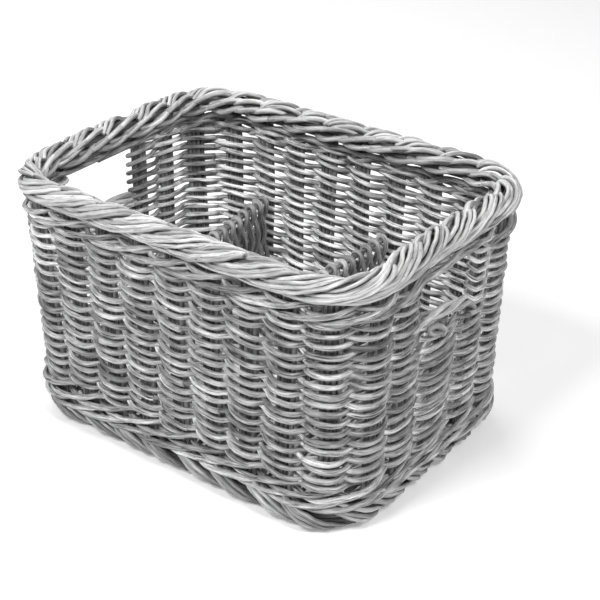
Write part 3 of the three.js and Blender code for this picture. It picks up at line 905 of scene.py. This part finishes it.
def row_points(row, spot, sizes):
    """Points of one row of weaving: it bulges and sags a little as it passes before a stake."""
    length = station(spot)
    wave = row_wave(row, spot)
    before = np.clip(wave, 0, 1)
    slack = slackness(row, spot)
    height = row_height(row, spot, sizes) - ROW_TILT * np.sin(math.pi * (spot + row))
    height = height + SLOW_LIFT * ripple(row * GIRTH + length, SLOW_LIFT_SEED, SLOW_LIFT_WAVE)
    height = height + PASS_LIFT * pass_noise(row, spot, HEIGHT_SEED)
    height = height - ROW_SAG * before - SLACK_SAG * slack * np.clip(SLACK_EDGE * before, 0, 1)
    bulge = 1 + (BULGE + SLACK_BULGE * slack) * before
    bulge = bulge + BULGE_STRAY * pass_noise(row, spot, BULGE_SEED)
    return wall_points(length, height, sizes.weave_swing * wave * bulge, sizes.wander)


def row_radius(row, spot, sizes):
    """Half the thickness of a row's cane along it: fuller where it passes before a stake."""
    before = np.clip(row_wave(row, spot), 0, 1)
    fullness = 1 + FULLNESS * before + FULLNESS_STRAY * pass_noise(row, spot, FULLNESS_SEED)
    return sizes.cane_diameter / 2 * fullness


def turn_round(row, jamb, towards, sizes):
    """Half a turn round a jamb stake's edge, from this row to the next one up."""
    angle = np.linspace(0, math.pi, 9)
    edge = (STAKE_WIDTH - sizes.stake_cane_diameter) / 2
    loop = LOOP_REACH * sizes.weave_swing + LOOP_STRAY * pass_noise(row, jamb, LOOP_SEED)
    if jamb == LOOSE_JAMB:
        loop += LOOSE_LOOP
    length = station(jamb) + towards * (edge + loop * np.sin(angle))
    start = row_wave(row, jamb)
    outside = np.clip(np.sign(start) * np.cos(angle), 0, 1)
    height = row_height(row, jamb, sizes) + sizes.row_pitch * angle / math.pi
    height = height - (ROW_SAG + SLACK_SAG * slackness(row, jamb)) * outside
    return wall_points(length, height, sizes.weave_swing * start * np.cos(angle), sizes.wander)


def stretch_canes(index, start, end, jamb, sill_rise, sizes):
    """Every cane of one stretch of woven wall."""
    canes = Canes(seed=10 + index)
    low = WEAVE_BOTTOM - sizes.cane_diameter / 2
    spot = steps_between(start, end)
    top = WALL_TOP
    if sill_rise is not None:
        share = np.clip((RIGHT_WEAVE_LEVEL - spot) / RIGHT_WEAVE_RISE_RUN, 0, 1)
        top = UNDER_SILL + sill_rise * share
    turning = []
    for row in ROWS:
        if jamb is not None and row_height(row, jamb, sizes) > UNDER_SILL:
            turning.append(row)
            continue
        height = row_height(row, spot, sizes)
        woven = spot[(height > low) & (height < top)]
        if len(woven) > 2:
            add_row(canes, row, woven, sizes)
    if jamb is not None:
        turning = [row for row in turning if row_height(row, jamb, sizes) < WALL_TOP]
        far = max(start, end, key=lambda place: abs(place - jamb))
        for first, second in pairs_at(turning, jamb):
            add_returning_row(canes, first, second, far, jamb, sizes)
    return canes


def pairs_at(rows, jamb):
    """Rows that join round a jamb, two by two, and any left over by itself."""
    lone = 1 if jamb in LONE_ROW_JAMBS else 0
    pairs = zip_longest(rows[lone::2], rows[lone + 1::2])
    return [(row, None) for row in rows[:lone]] + list(pairs)


def add_row(canes, row, spot, sizes):
    """A row of weaving, parted where one cane ends and the next takes over."""
    first, last = spot[0] + JOIN_FROM_START, spot[-1] - JOIN_FROM_END
    joins = [join for join in JOINS if join[0] == row and first < join[1] < last]
    bounds = [None, *joins, None]
    for opening, closing in zip(bounds, bounds[1:]):
        kept = np.ones(len(spot), bool)
        points = row_points(row, spot, sizes)
        near = np.zeros(len(spot))
        for join, side in ((opening, -1), (closing, 1)):
            if join is None:
                continue
            past, lift, change = END_ON_TOP if join[2] == side else END_BEHIND
            end = join[1] + side * past
            kept &= side * spot < side * end
            points = lifted(points, spot, end, lift)
            near += change * np.clip(1 - np.abs(spot - end) / END_TONE_RUN, 0, 1)
        if kept.sum() > 2:
            radius = row_radius(row, spot, sizes) * (1 + END_FULLNESS * near)
            tone = row_tone(row, spot) * (1 + END_PALENESS * near)
            canes.add(points[kept], radius[kept], tone[kept])


def lifted(points, spot, at, by):
    """Points moved out of the wall by a distance that fades away from a stake number."""
    share = np.clip(1 - np.abs(spot - at) / END_LIFT_RUN, 0, 1) ** END_LIFT_POWER
    _, normal = outline_at(WALL_AT_TOP, station(spot), 0)
    moved = points.copy()
    moved[:, :2] += normal * by * share[:, None]
    return moved


def row_tone(row, spot):
    """How pale a row's cane is as it passes each stake: the passes inside the wall are painted paler, as
    painted light.
    """
    inside = np.clip(-2 * np.cos(math.pi * (spot + row)), 0, 1)
    return (1 + PASS_TONE * pass_noise(row, spot, TONE_SEED)) * (1 + INSIDE_PAINTED_LIGHT * inside)


def add_returning_row(canes, first, second, far, jamb, sizes):
    """A cane that comes to the jamb in one row, turns round it and goes back in the next."""
    spot = steps_between(far, jamb)
    tone = row_tone(first, spot)
    turn = turn_round(first, jamb, 1 if far < jamb else -1, sizes)
    if second is None:
        rest = turn[: len(turn) // 2 + 1]
    else:
        rest = np.vstack([turn, row_points(second, spot[::-1], sizes)[1:]])
    points = np.vstack([row_points(first, spot, sizes)[:-1], rest])
    tone = np.concatenate([tone[:-1], np.full(len(rest), tone[-1] * TURNED_TONE)])
    for _ in range(TURN_SMOOTHINGS):
        points[1:-1, 2] = (points[:-2, 2] + 2 * points[1:-1, 2] + points[2:, 2]) / 4
    canes.add(points, sizes.cane_diameter / 2, tone)


def choose_joins():
    """Row, stake and side of each place where a weaving cane ends and a new one takes over.

    On side 1 the old cane's end lies on top, and on side -1 the new one's.
    """
    random = np.random.default_rng(JOIN_SEED)
    joins = set()
    for row in JOINED_ROWS:
        for _ in range(int(random.integers(1, 4))):
            stake = int(random.integers(0, STAKE_COUNT))
            stake += (stake + row) % 2
            joins.add((row, float(stake), int(random.choice([-1, 1]))))
    return sorted(joins)


JOINS = choose_joins()


# Operators: each makes one piece or a group of like pieces


class BASKET_OT_walls(bpy.types.Operator):
    """Weave the walls: single canes over and under the stakes, turned back at the handle holes"""

    bl_idname = "basket.walls"
    bl_label = "Weave walls"

    def execute(self, context):
        sizes = context.scene.basket_sizes
        for index, (name, *stretch) in enumerate(WEAVE_STRETCHES):
            canes = stretch_canes(index, *stretch, sizes)
            cane_piece(f"{name}_canes", canes, "weaving_cane", [name])
        return {"FINISHED"}


def add_stake(canes, length, head, sizes):
    """The flat group of canes of one stake."""
    height = np.linspace(STAKE_FOOT, head, 30)
    for place in range(CANES_IN_STAKE):
        side = (place - (CANES_IN_STAKE - 1) / 2) * STAKE_WIDTH / CANES_IN_STAKE
        seed = 900 + len(canes.list)
        side = side + STAKE_SIDE_STRAY * ripple(height, seed, STAKE_SIDE_WAVE)
        out = STAKE_OUT_STRAY * ripple(height, seed + 50, STAKE_OUT_WAVE)
        points = wall_points(length + side, height, out, sizes.wander)
        canes.add(points, sizes.stake_cane_diameter / 2, spread=0.22, drift=0.2)


class BASKET_OT_stakes(bpy.types.Operator):
    """Set the stakes: flat groups of canes that stand from the foot into the rim"""

    bl_idname = "basket.stakes"
    bl_label = "Set stakes"

    def execute(self, context):
        sizes = context.scene.basket_sizes
        for index, (name, nodes, first) in enumerate(STAKE_GROUPS):
            canes = Canes(seed=30 + index)
            for number in range(first, first + len(nodes)):
                head = SHORT_STAKE_HEAD if number in SHORT_STAKES else STAKE_HEAD
                add_stake(canes, STAKES[number], head, sizes)
            cane_piece(name, canes, "stake_cane", nodes)
        return {"FINISHED"}


def over_handle(length):
    """1 along the handle holes, fading to 0 beside them."""
    right, left = (STAKES[number] for number in SHORT_STAKES)
    middles = (right, left, right + GIRTH)
    beside = np.minimum.reduce([np.abs(length - middle) for middle in middles]) - HANDLE_WIDTH / 2
    return smooth_step(1 - (beside - SQUEEZE_START) / SQUEEZE_FADE)


def wale_canes(seed, radius, low, high, reach, squeeze, dip):
    """Three-rod waling: each stroke climbs outside two stakes and drops behind the third."""
    canes = Canes(seed)
    share = np.linspace(0, 1, 49)
    heights = low + (high - low) * WALE_CLIMB
    heights[1] -= WALE_DROP
    for number in range(STAKE_COUNT):
        shift = canes.stray(4)
        spot = number - WALE_START + WALE_STAKES * share
        height = eased(share, WALE_RUN, heights)
        height = height + WALE_ARCH_STRAY * shift[1] * np.sin(math.pi * share)
        height = height + WALE_RIPPLE * ripple(share, seed * 50 + number, 0.4)
        height = high - (high - height) * (1 - squeeze * over_handle(station(spot)))
        out = eased(share, WALE_RUN, WALE_OUT) * (reach + WALE_REACH_STRAY * shift[2])
        away = (spot - DIPPED_CORNERS + STAKE_COUNT / 2) % STAKE_COUNT - STAKE_COUNT / 2
        dipped = dip * np.exp(-((away / DIP_RUN) ** 2)).sum(axis=0)
        out = out + DIP_OUT * dipped * (out > 0)
        points = wall_points(station(spot), height - dipped, out, 0)
        thick = radius * (1 + WALE_THICKNESS_STRAY * shift[0])
        canes.add(points, thick, 1 + WALE_TONE_STRAY * shift[3])
    return canes


def filling_canes(seed, radius):
    """Short strokes inside, from stake to stake, that close the strip just under the rim."""
    canes = Canes(seed)
    share = np.linspace(0, 1, 25)
    arch = np.sin(math.pi * share)
    for number in range(STAKE_COUNT):
        shift = canes.stray(4)
        spot = number - FILLING_START + (FILLING_RUN + FILLING_RUN_STRAY * shift[0]) * share
        rise = FILLING_RISE * arch**0.8 * (1 - FILLING_SQUEEZE * over_handle(station(spot)))
        height = WALL_TOP - FILLING_DROP - FILLING_SLOPE * share + rise
        height = height + FILLING_HEIGHT_STRAY * shift[1]
        points = wall_points(station(spot), height, -FILLING_DEPTH - FILLING_ARCH * arch, 0)
        thick = radius * (1 + WALE_THICKNESS_STRAY * shift[2])
        canes.add(points, thick, FILLING_TONE + FILLING_TONE_STRAY * shift[3])
    return canes


class BASKET_OT_wales(bpy.types.Operator):
    """Weave the wales: three-cane bands under the rim and over the foot"""

    bl_idname = "basket.wales"
    bl_label = "Weave wales"

    def execute(self, context):
        sizes = context.scene.basket_sizes
        radius = sizes.cane_diameter * WALE_CANE
        upper = wale_canes(50, radius, **UPPER_WALE)
        upper.list += filling_canes(53, radius).list
        lower = wale_canes(51, radius, **LOWER_WALE)
        lower.list += wale_canes(52, radius, **LOWEST_WALE).list
        cane_piece("upper_wale_canes", upper, "weaving_cane", ["upper_wale"])
        cane_piece("lower_wale_canes", lower, "weaving_cane", ["lower_wale"])
        return {"FINISHED"}


def roll_points(length, angle, reach):
    """Points on the rim's roll: the angle runs from outside over the top to the inside."""
    middle, _ = outline_at(RIM_CENTRE, length, 0)
    slim = smooth_step((-middle[:, 1] - SLIM_START) / SLIM_RUN)
    reach = reach * (1 - SLIMNESS * slim)
    height = RIM_CENTRE_HEIGHT - SLIM_DROP * slim + reach * np.sin(angle)
    return points_at(RIM_CENTRE, length, height, reach * np.cos(angle) + SLIM_OUT * slim)


def fanned(length, arc, offset):
    """Moves a cane's line sideways on the surface it lies on, square to its own run."""
    along, across = np.gradient(length), np.gradient(arc)
    size = np.hypot(along, across)
    return length - offset * across / size, arc + offset * along / size


def add_rim_bundle(canes, number, radius):
    """The strands of one stake's bundle, side by side, from low outside over the top."""
    share = np.linspace(0, 1, 60)
    knots = RIM_RUN / RIM_RUN[-1]
    stray = canes.stray(4, MOST_STRAY)
    for place, (sunk_share, sunk_depth) in enumerate(RIM_SUNK):
        shift = canes.stray(5, MOST_STRAY)
        seed = 6000 + number * 9 + place
        start = number - RIM_START + RIM_START_STRAY * stray[1] + RIM_STRAND_STRAY * shift[0]
        along = STAKE_PITCH * start + (RIM_RUN[-1] + RIM_RUN_STRAY * stray[0]) * share
        angle = eased(share, knots, RIM_ANGLE) + RIM_TURN_STRAY * stray[3] * np.sin(math.pi * share)
        reach = eased(share, knots, RIM_REACH) + RIM_REACH_STRAY * shift[1]
        reach = reach + RIM_REACH_RIPPLE * ripple(share, seed, 0.35)
        reach = reach - sunk_depth * np.clip((sunk_share - share) / RIM_RISE_RUN, 0, 1)
        offset = (place - (len(RIM_SUNK) - 1) / 2) * eased(share, knots, RIM_SPACING)
        offset = offset + RIM_SIDE_RIPPLE * ripple(share, seed + 400, 0.3)
        length, arc = fanned(along, angle * RIM_NOMINAL_REACH, offset)
        angle = arc / RIM_NOMINAL_REACH
        kept = share >= RIM_SHORT_STARTS * abs(shift[2])
        kept &= share <= 1 - RIM_SHORT_ENDS * abs(shift[3])
        points, core = (roll_points(length, angle, out)[kept] for out in (reach, 0))
        tone = RIM_TONE + RIM_TONE_STRAY * shift[4]
        canes.add(points, radius, tone, spread=0.12, drift=0.18, core=core)


def add_inner_rim(canes, number, radius):
    """Short strands on the roll's inside, each laid over the ends of those before it."""
    share = np.arange(30) / 29.5
    for place in range(INNER_RIM_STRANDS):
        shift = canes.stray(5, MOST_STRAY)
        start = number + INNER_RIM_PITCH * place + INNER_RIM_SPOT_STRAY * shift[1]
        spot = start + (INNER_RIM_RUN + INNER_RIM_SPOT_STRAY * shift[0]) * share
        middle = INNER_RIM_FIRST + INNER_RIM_STEP * place + INNER_RIM_ANGLE_STRAY * shift[2]
        angle = np.radians(middle + INNER_RIM_TURN * (2 * share - 1))
        arch = INNER_RIM_ARCH + INNER_RIM_ARCH_STRAY * shift[3]
        reach = INNER_RIM_REACH + arch * np.sin(math.pi * share) ** 0.7
        points, core = (roll_points(STAKE_PITCH * spot, angle, out) for out in (reach, 0))
        tone = RIM_TONE + INNER_RIM_TONE_STRAY * shift[4]
        canes.add(points, radius, tone, spread=0.12, drift=0.16, core=core)


def rim_canes(sizes):
    """The rolled rim: bundles outside and strands inside, laid over core canes."""
    canes = Canes(seed=60)
    radius = sizes.border_cane_diameter / 2
    for number in range(STAKE_COUNT):
        add_rim_bundle(canes, number, RIM_CANE * radius)
        add_inner_rim(canes, number, INNER_RIM_CANE * radius)
    length = station(np.linspace(0, STAKE_COUNT, 181))
    for angle in np.arange(RIM_CORE_CANES) * 2 * math.pi / RIM_CORE_CANES:
        canes.add(roll_points(length, angle, RIM_CORE_REACH), RIM_CORE_RADIUS, RIM_CORE_PAINTED_SHADE)
    return canes


class BASKET_OT_rim(bpy.types.Operator):
    """Roll the rim: one bundle of canes for each stake, laid over the ones before it"""

    bl_idname = "basket.rim"
    bl_label = "Roll rim"

    def execute(self, context):
        canes = rim_canes(context.scene.basket_sizes)
        cane_piece("rim_border_canes", canes, "border_cane", ["rim_border"], facets=8)
        return {"FINISHED"}


def add_foot_bundle(canes, number, radius):
    """The strands of one stake's bundle, down and along to the ground, thinner at their ends."""
    share = np.linspace(0, 1, 44)
    knots = FOOT_RUN / FOOT_RUN[-1]
    stray = canes.stray(4, MOST_STRAY)
    for place, (tuck_share, tuck_depth) in enumerate(FOOT_TUCK):
        shift = canes.stray(5, MOST_STRAY)
        seed = 8000 + number * 9 + place
        start = number - FOOT_START + FOOT_START_STRAY * stray[0] + FOOT_STRAND_STRAY * shift[0]
        along = STAKE_PITCH * (start + (FOOT_RUN[-1] + FOOT_RUN_STRAY * stray[2]) * share)
        middle = eased(share, knots, FOOT_HEIGHT)
        middle = middle + FOOT_ARCH_STRAY * stray[3] * np.sin(math.pi * share)
        out = eased(share, knots, FOOT_OUT) + FOOT_STRAY * (ripple(share, seed, 0.4) + shift[1])
        out = out - tuck_depth * np.clip((share - tuck_share) / FOOT_TUCK_RUN, 0, 1)
        offset = (place - 1) * eased(share, knots, FOOT_SPACING)
        offset = offset + FOOT_STRAY * ripple(share, seed + 400, 0.35)
        length, height = fanned(along, middle, offset)
        height = np.maximum(height, radius * FOOT_GROUND)
        kept = share <= 1 - FOOT_SHORT_ENDS * abs(shift[3])
        points = points_at(FOOT_CENTRE, length, height, out)[kept]
        core = points_at(FOOT_CENTRE, length, height / 2 + FOOT_CORE_HEIGHT, FOOT_CORE_OUT)[kept]
        near = np.clip((share[kept] - FOOT_NEAR_START) / FOOT_NEAR_RUN, 0, 1)
        thick = radius * (1 - FOOT_THINNING * near)
        tone = (FOOT_TONE + FOOT_TONE_STRAY * shift[4]) * (1 - FOOT_DARKENING * near)
        canes.add(points, thick, tone, spread=0.18, drift=0.34, core=core)


def add_inner_foot(canes, number, radius):
    """Strands behind a bundle, which run the other way down the inside."""
    share = np.linspace(0, 1, 44)
    for place in range(INNER_FOOT_STRANDS):
        shift = canes.stray(4, MOST_STRAY)
        spot = number + INNER_FOOT_START - INNER_FOOT_STAKES * share + INNER_FOOT_STRAY * shift[0]
        height = eased(share, INNER_FOOT_RUN, INNER_FOOT_HEIGHT) + (place - 1) * INNER_FOOT_PITCH
        height = np.maximum(height, radius * FOOT_GROUND)
        out = eased(share, INNER_FOOT_RUN, INNER_FOOT_OUT)
        canes.add(points_at(FOOT_CENTRE, station(spot), height, out), radius, INNER_FOOT_TONE)


def foot_canes(sizes):
    """The plaited foot: bundles that run down to the ground, over a waled core."""
    canes = Canes(seed=70)
    radius = sizes.border_cane_diameter * FOOT_CANE
    for number in range(STAKE_COUNT):
        add_foot_bundle(canes, number, radius)
        add_inner_foot(canes, number, radius)
    spot = np.linspace(0, STAKE_COUNT, 233)
    for place, height in enumerate(FOOT_ROW_HEIGHTS):
        out = FOOT_ROW_OUT + FOOT_ROW_SWING * np.sin(math.pi * (spot + place))
        points = points_at(FOOT_CENTRE, station(spot), height + 0 * spot, out)
        canes.add(points, FOOT_ROW_RADIUS, FOOT_ROW_PAINTED_SHADE)
    return canes


class BASKET_OT_foot(bpy.types.Operator):
    """Plait the foot: one bundle of canes for each stake, laid down to the ground"""

    bl_idname = "basket.foot"
    bl_label = "Plait foot"

    def execute(self, context):
        canes = foot_canes(context.scene.basket_sizes)
        cane_piece("foot_border_canes", canes, "border_cane", ["foot_border"], facets=8)
        return {"FINISHED"}


def add_lashing(canes, side, centre, rise):
    """Three canes twisted loosely along the lower edge of a hole, drooping at their ends."""
    share = np.linspace(*SILL_ENDS, 60)
    height = HANDLE_SILL - SILL_ROLL_DIAMETER / 2
    half_x = float(wall_outline(height)[0])
    y = centre + HANDLE_WIDTH * (share - 0.5)
    past = np.clip(np.abs(share - 0.5) - SILL_DROOP_START, 0, 1) / SILL_DROOP_RUN
    for strand, (tone, drooping) in enumerate(zip(SILL_TONES, SILL_DROOP_SHARES)):
        angle = 2 * math.pi * (SILL_TWIST * share + strand / len(SILL_TONES)) - SILL_TWIST_LAG
        reach = SILL_SPREAD + SILL_SPREAD_CHANGE * np.sin(SILL_SPREAD_WAVE * share + strand)
        x = side * (half_x + SILL_OUT + reach * np.cos(angle))
        z = height + rise * np.clip(1 - share, 0, 1) + reach * np.sin(angle)
        z = z - SILL_DROOP * drooping * past**2
        canes.add(np.column_stack([x, y, z]), SILL_CANE_RADIUS, tone=tone)


def coil_points():
    """The end of the right sill's lashing, curled up in a flat oval below the sill."""
    turn = np.linspace(*COIL_TURNS, 46) * 2 * math.pi
    wound = turn / turn[-1]
    size = 1 - COIL_SHRINK * wound
    y = RIGHT_HANDLE_Y + COIL_ALONG + COIL_HALF_LENGTH * size * np.cos(turn)
    z = COIL_HEIGHT + size * (COIL_HALF_WIDTH * np.sin(turn) - COIL_SLANT * np.cos(turn))
    x = wall_outline(z)[:, 0] + COIL_OUT - COIL_SINK * wound
    return np.column_stack([x, y, z])


class BASKET_OT_sills(bpy.types.Operator):
    """Lash the sills: twisted canes along the bottom of each handle hole"""

    bl_idname = "basket.sills"
    bl_label = "Lash sills"

    def execute(self, context):
        for name, seed, side, centre, rise in SILLS:
            canes = Canes(seed)
            add_lashing(canes, side, centre, rise)
            if side > 0:
                canes.add(coil_points(), COIL_CANE_RADIUS, COIL_TONE)
            cane_piece(f"{name}_canes", canes, "border_cane", [name], facets=8)
        return {"FINISHED"}


def half_across(place, half_along, half_beside, radius):
    """Half the length of a cane that lies across the base at a distance from its middle."""
    corner = max(abs(place) - (half_beside - radius), 0)
    return half_along - radius + math.sqrt(max(radius**2 - corner**2, 0))


class BASKET_OT_base(bpy.types.Operator):
    """Weave the base: canes across the width over and under sticks along the length"""

    bl_idname = "basket.base"
    bl_label = "Weave base"

    def execute(self, context):
        half_x, half_y, radius = BASE_OUTLINE
        weave, sticks = Canes(seed=90), Canes(seed=91)
        count = int(half_x * 2 / BASE_CANE_PITCH)
        for number in range(count):
            x = (number - (count - 1) / 2) * BASE_CANE_PITCH
            y = np.linspace(-1, 1, 60) * half_across(x, half_y, half_x, radius)
            z = BASE_MIDDLE + BASE_SWING * np.cos(math.pi * (y / STICK_PITCH + number))
            weave.add(np.column_stack([x + 0 * y, y, z]), BASE_CANE_RADIUS)
        for y in (np.arange(STICK_COUNT) - (STICK_COUNT - 1) / 2) * STICK_PITCH:
            x = np.linspace(-1, 1, 24) * half_across(y, half_x, half_y, radius)
            sticks.add(np.column_stack([x, y + 0 * x, BASE_MIDDLE + 0 * x]), STICK_RADIUS)
        nodes = [f"base_stick_{number}" for number in range(1, STICK_COUNT + 1)]
        cane_piece("base_weave_canes", weave, "weaving_cane", ["base_weave"])
        cane_piece("base_sticks", sticks, "stake_cane", nodes, facets=8)
        return {"FINISHED"}


def divider_reach(height):
    """How far a divider runs to either side at a height, up to the woven wall."""
    return wall_outline(height)[..., 1] - DIVIDER_TO_WALL


def divider_points(x, turn, across, y, height):
    """Points in the plane of a divider that is turned in plan."""
    angle = math.radians(turn)
    return np.column_stack([x - y * math.tan(angle) + across / math.cos(angle), y, height])


def add_loops(canes, x, turn, count):
    """The canes of a divider, each up one side, over the top rod and down the other side."""
    top = DIVIDER_ROD_HEIGHTS[0]
    rod_pitch = top - DIVIDER_ROD_HEIGHTS[1]
    height = np.linspace(DIVIDER_BOTTOM, top, 40)
    below = top - height
    leg = DIVIDER_SWING * np.cos(math.pi * below / rod_pitch)
    arch = np.linspace(0, math.pi, 11)
    for loop in range(count):
        shift = canes.random.standard_normal(4)
        share = (loop + 0.5) / count * 2 - 1 + LOOP_PLACE_STRAY * shift[0]
        lift = LOOP_LIFT_STRAY * shift[1]
        side = (LOOP_SPLAY + LOOP_SPLAY_STRAY * shift[2]) * np.clip(below / LOOP_SPLAY_RUN, 0, 1)
        side = side + LOOP_LEAN_STRAY * shift[3] * np.clip(below / LOOP_LEAN_RUN, 0, 1)
        y = share * divider_reach(height)
        z = height + lift * np.clip(1 - below / rod_pitch, 0, 1)
        up = divider_points(x, turn, leg, y + side, z)
        down = divider_points(x, turn, -leg, y - side, z)[::-1]
        y, z = share * divider_reach(top) + 0 * arch, top + lift + DIVIDER_SWING * np.sin(arch)
        over = divider_points(x, turn, DIVIDER_SWING * np.cos(arch), y, z)
        points = np.vstack([up[:-1], over, down[1:]])
        # Painted light and shade: paler near the top rod, darker lower in the basket
        lit_top_share = np.exp(-np.clip(top - points[:, 2], 0, 1) / DIVIDER_TONE_FADE)
        canes.add(points, DIVIDER_CANE_RADIUS, DIVIDER_TONE + DIVIDER_TOP_PAINTED_LIGHT * lit_top_share)


class BASKET_OT_dividers(bpy.types.Operator):
    """Loop the dividers: canes over the top rod, crossed between the rods below it"""

    bl_idname = "basket.dividers"
    bl_label = "Loop dividers"

    def execute(self, context):
        count = context.scene.basket_sizes.divider_loops
        for index, (name, x, turn) in enumerate(DIVIDERS):
            canes, rods = Canes(seed=100 + index), Canes(seed=110 + index)
            add_loops(canes, x, turn, count)
            for height in DIVIDER_ROD_HEIGHTS:
                y = np.linspace(-1, 1, 24) * divider_reach(height)
                rods.add(divider_points(x, turn, 0 * y, y, height + 0 * y), DIVIDER_ROD_RADIUS)
            nodes = [f"{name}_rod_{number}" for number in range(1, len(DIVIDER_ROD_HEIGHTS) + 1)]
            cane_piece(f"{name}_canes", canes, "divider_cane", [f"{name}_weave"])
            cane_piece(f"{name}_rods", rods, "stake_cane", nodes)
        return {"FINISHED"}


# Stage


def add_lamp(name, place, width, power):
    """A square soft lamp that looks at the basket."""
    data = bpy.data.lights.new(name, "AREA")
    data.size = width
    data.energy = power
    lamp = bpy.data.objects.new(name, data)
    lamp.location = place
    lamp.rotation_euler = (LIT_PLACE - Vector(place)).to_track_quat("-Z", "Y").to_euler()
    bpy.context.scene.collection.objects.link(lamp)


def floor_material(colour):
    """A pale floor that shows white to the camera and keeps the basket's shadow."""
    material = bpy.data.materials.new("pale_floor")
    material.use_nodes = True
    tree = material.node_tree
    shader = tree.nodes["Principled BSDF"]
    shader.inputs["Base Color"].default_value = (*colour, 1)
    shader.inputs["Roughness"].default_value = 0.9
    shader.inputs["Specular IOR Level"].default_value = 0.1
    glow = math_node(tree, "MULTIPLY", camera_rays(tree), FLOOR_GLOW)
    shader.inputs["Emission Color"].default_value = (1, 1, 1, 1)
    tree.links.new(glow, shader.inputs["Emission Strength"])
    return material


def add_floor(scene):
    """A wide floor that carries the basket and takes its shadow."""
    shape = bmesh.new()
    bmesh.ops.create_grid(shape, x_segments=1, y_segments=1, size=FLOOR_HALF)
    mesh = bpy.data.meshes.new("floor")
    shape.to_mesh(mesh)
    shape.free()
    mesh.materials.append(floor_material(scene.basket_colours.floor))
    floor = bpy.data.objects.new("floor", mesh)
    scene.collection.objects.link(floor)


def set_world(scene):
    """A white backdrop that gives the basket a little light from all sides."""
    world = bpy.data.worlds.new("studio")
    world.use_nodes = True
    tree = world.node_tree
    background = tree.nodes["Background"]
    background.inputs["Color"].default_value = (1, 1, 1, 1)
    more = math_node(tree, "MULTIPLY", camera_rays(tree), 1 - WORLD_LIGHT)
    tree.links.new(math_node(tree, "ADD", more, WORLD_LIGHT), background.inputs["Strength"])
    scene.world = world


def add_camera(scene):
    """The camera at the photograph's viewing angle, rolled a little."""
    data = bpy.data.cameras.new("camera")
    data.lens = CAMERA_LENS
    camera = bpy.data.objects.new("camera", data)
    back = (CAMERA_PLACE - CAMERA_TARGET).normalized()
    level = Vector((0, 0, 1)).cross(back).normalized()
    right = level * math.cos(CAMERA_ROLL) + back.cross(level) * math.sin(CAMERA_ROLL)
    turned = Matrix((right, back.cross(right), back)).transposed().to_4x4()
    camera.matrix_world = Matrix.Translation(CAMERA_PLACE) @ turned
    scene.collection.objects.link(camera)
    scene.camera = camera


class BASKET_OT_stage(bpy.types.Operator):
    """Lay the floor and set the lamps, the backdrop and the camera"""

    bl_idname = "basket.stage"
    bl_label = "Set stage"

    def execute(self, context):
        scene = context.scene
        add_floor(scene)
        set_world(scene)
        for settings in LAMPS:
            add_lamp(*settings)
        add_camera(scene)
        scene.view_settings.view_transform = "Standard"
        return {"FINISHED"}


class BASKET_PT_panel(bpy.types.Panel):
    """Lists the steps that make the basket."""

    bl_idname = "BASKET_PT_panel"
    bl_label = "Cutlery basket"
    bl_space_type = "VIEW_3D"
    bl_region_type = "UI"
    bl_category = "Basket"

    def draw(self, context):
        scene = context.scene
        for group in (scene.basket_sizes, scene.basket_colours):
            for name in group.bl_rna.properties.keys():
                if name not in ("rna_type", "name"):
                    self.layout.prop(group, name)
        for operator in OPERATORS:
            self.layout.operator(operator.bl_idname)


OPERATORS = (
    BASKET_OT_walls,
    BASKET_OT_stakes,
    BASKET_OT_wales,
    BASKET_OT_rim,
    BASKET_OT_foot,
    BASKET_OT_sills,
    BASKET_OT_base,
    BASKET_OT_dividers,
    BASKET_OT_stage,
)
CLASSES = (BasketSizes, BasketColours, *OPERATORS, BASKET_PT_panel)


def register():
    """Adds the settings, the steps and the panel to Blender."""
    for kind in CLASSES:
        bpy.utils.register_class(kind)
    bpy.types.Scene.basket_sizes = PointerProperty(type=BasketSizes)
    bpy.types.Scene.basket_colours = PointerProperty(type=BasketColours)


def unregister():
    """Takes them out again."""
    del bpy.types.Scene.basket_colours
    del bpy.types.Scene.basket_sizes
    for kind in reversed(CLASSES):
        bpy.utils.unregister_class(kind)


def main():
    """Makes the basket and its stage."""
    register()
    bpy.ops.basket.walls()
    bpy.ops.basket.stakes()
    bpy.ops.basket.wales()
    bpy.ops.basket.rim()
    bpy.ops.basket.foot()
    bpy.ops.basket.sills()
    bpy.ops.basket.base()
    bpy.ops.basket.dividers()
    bpy.ops.basket.stage()


if __name__ == "__main__":
    main()
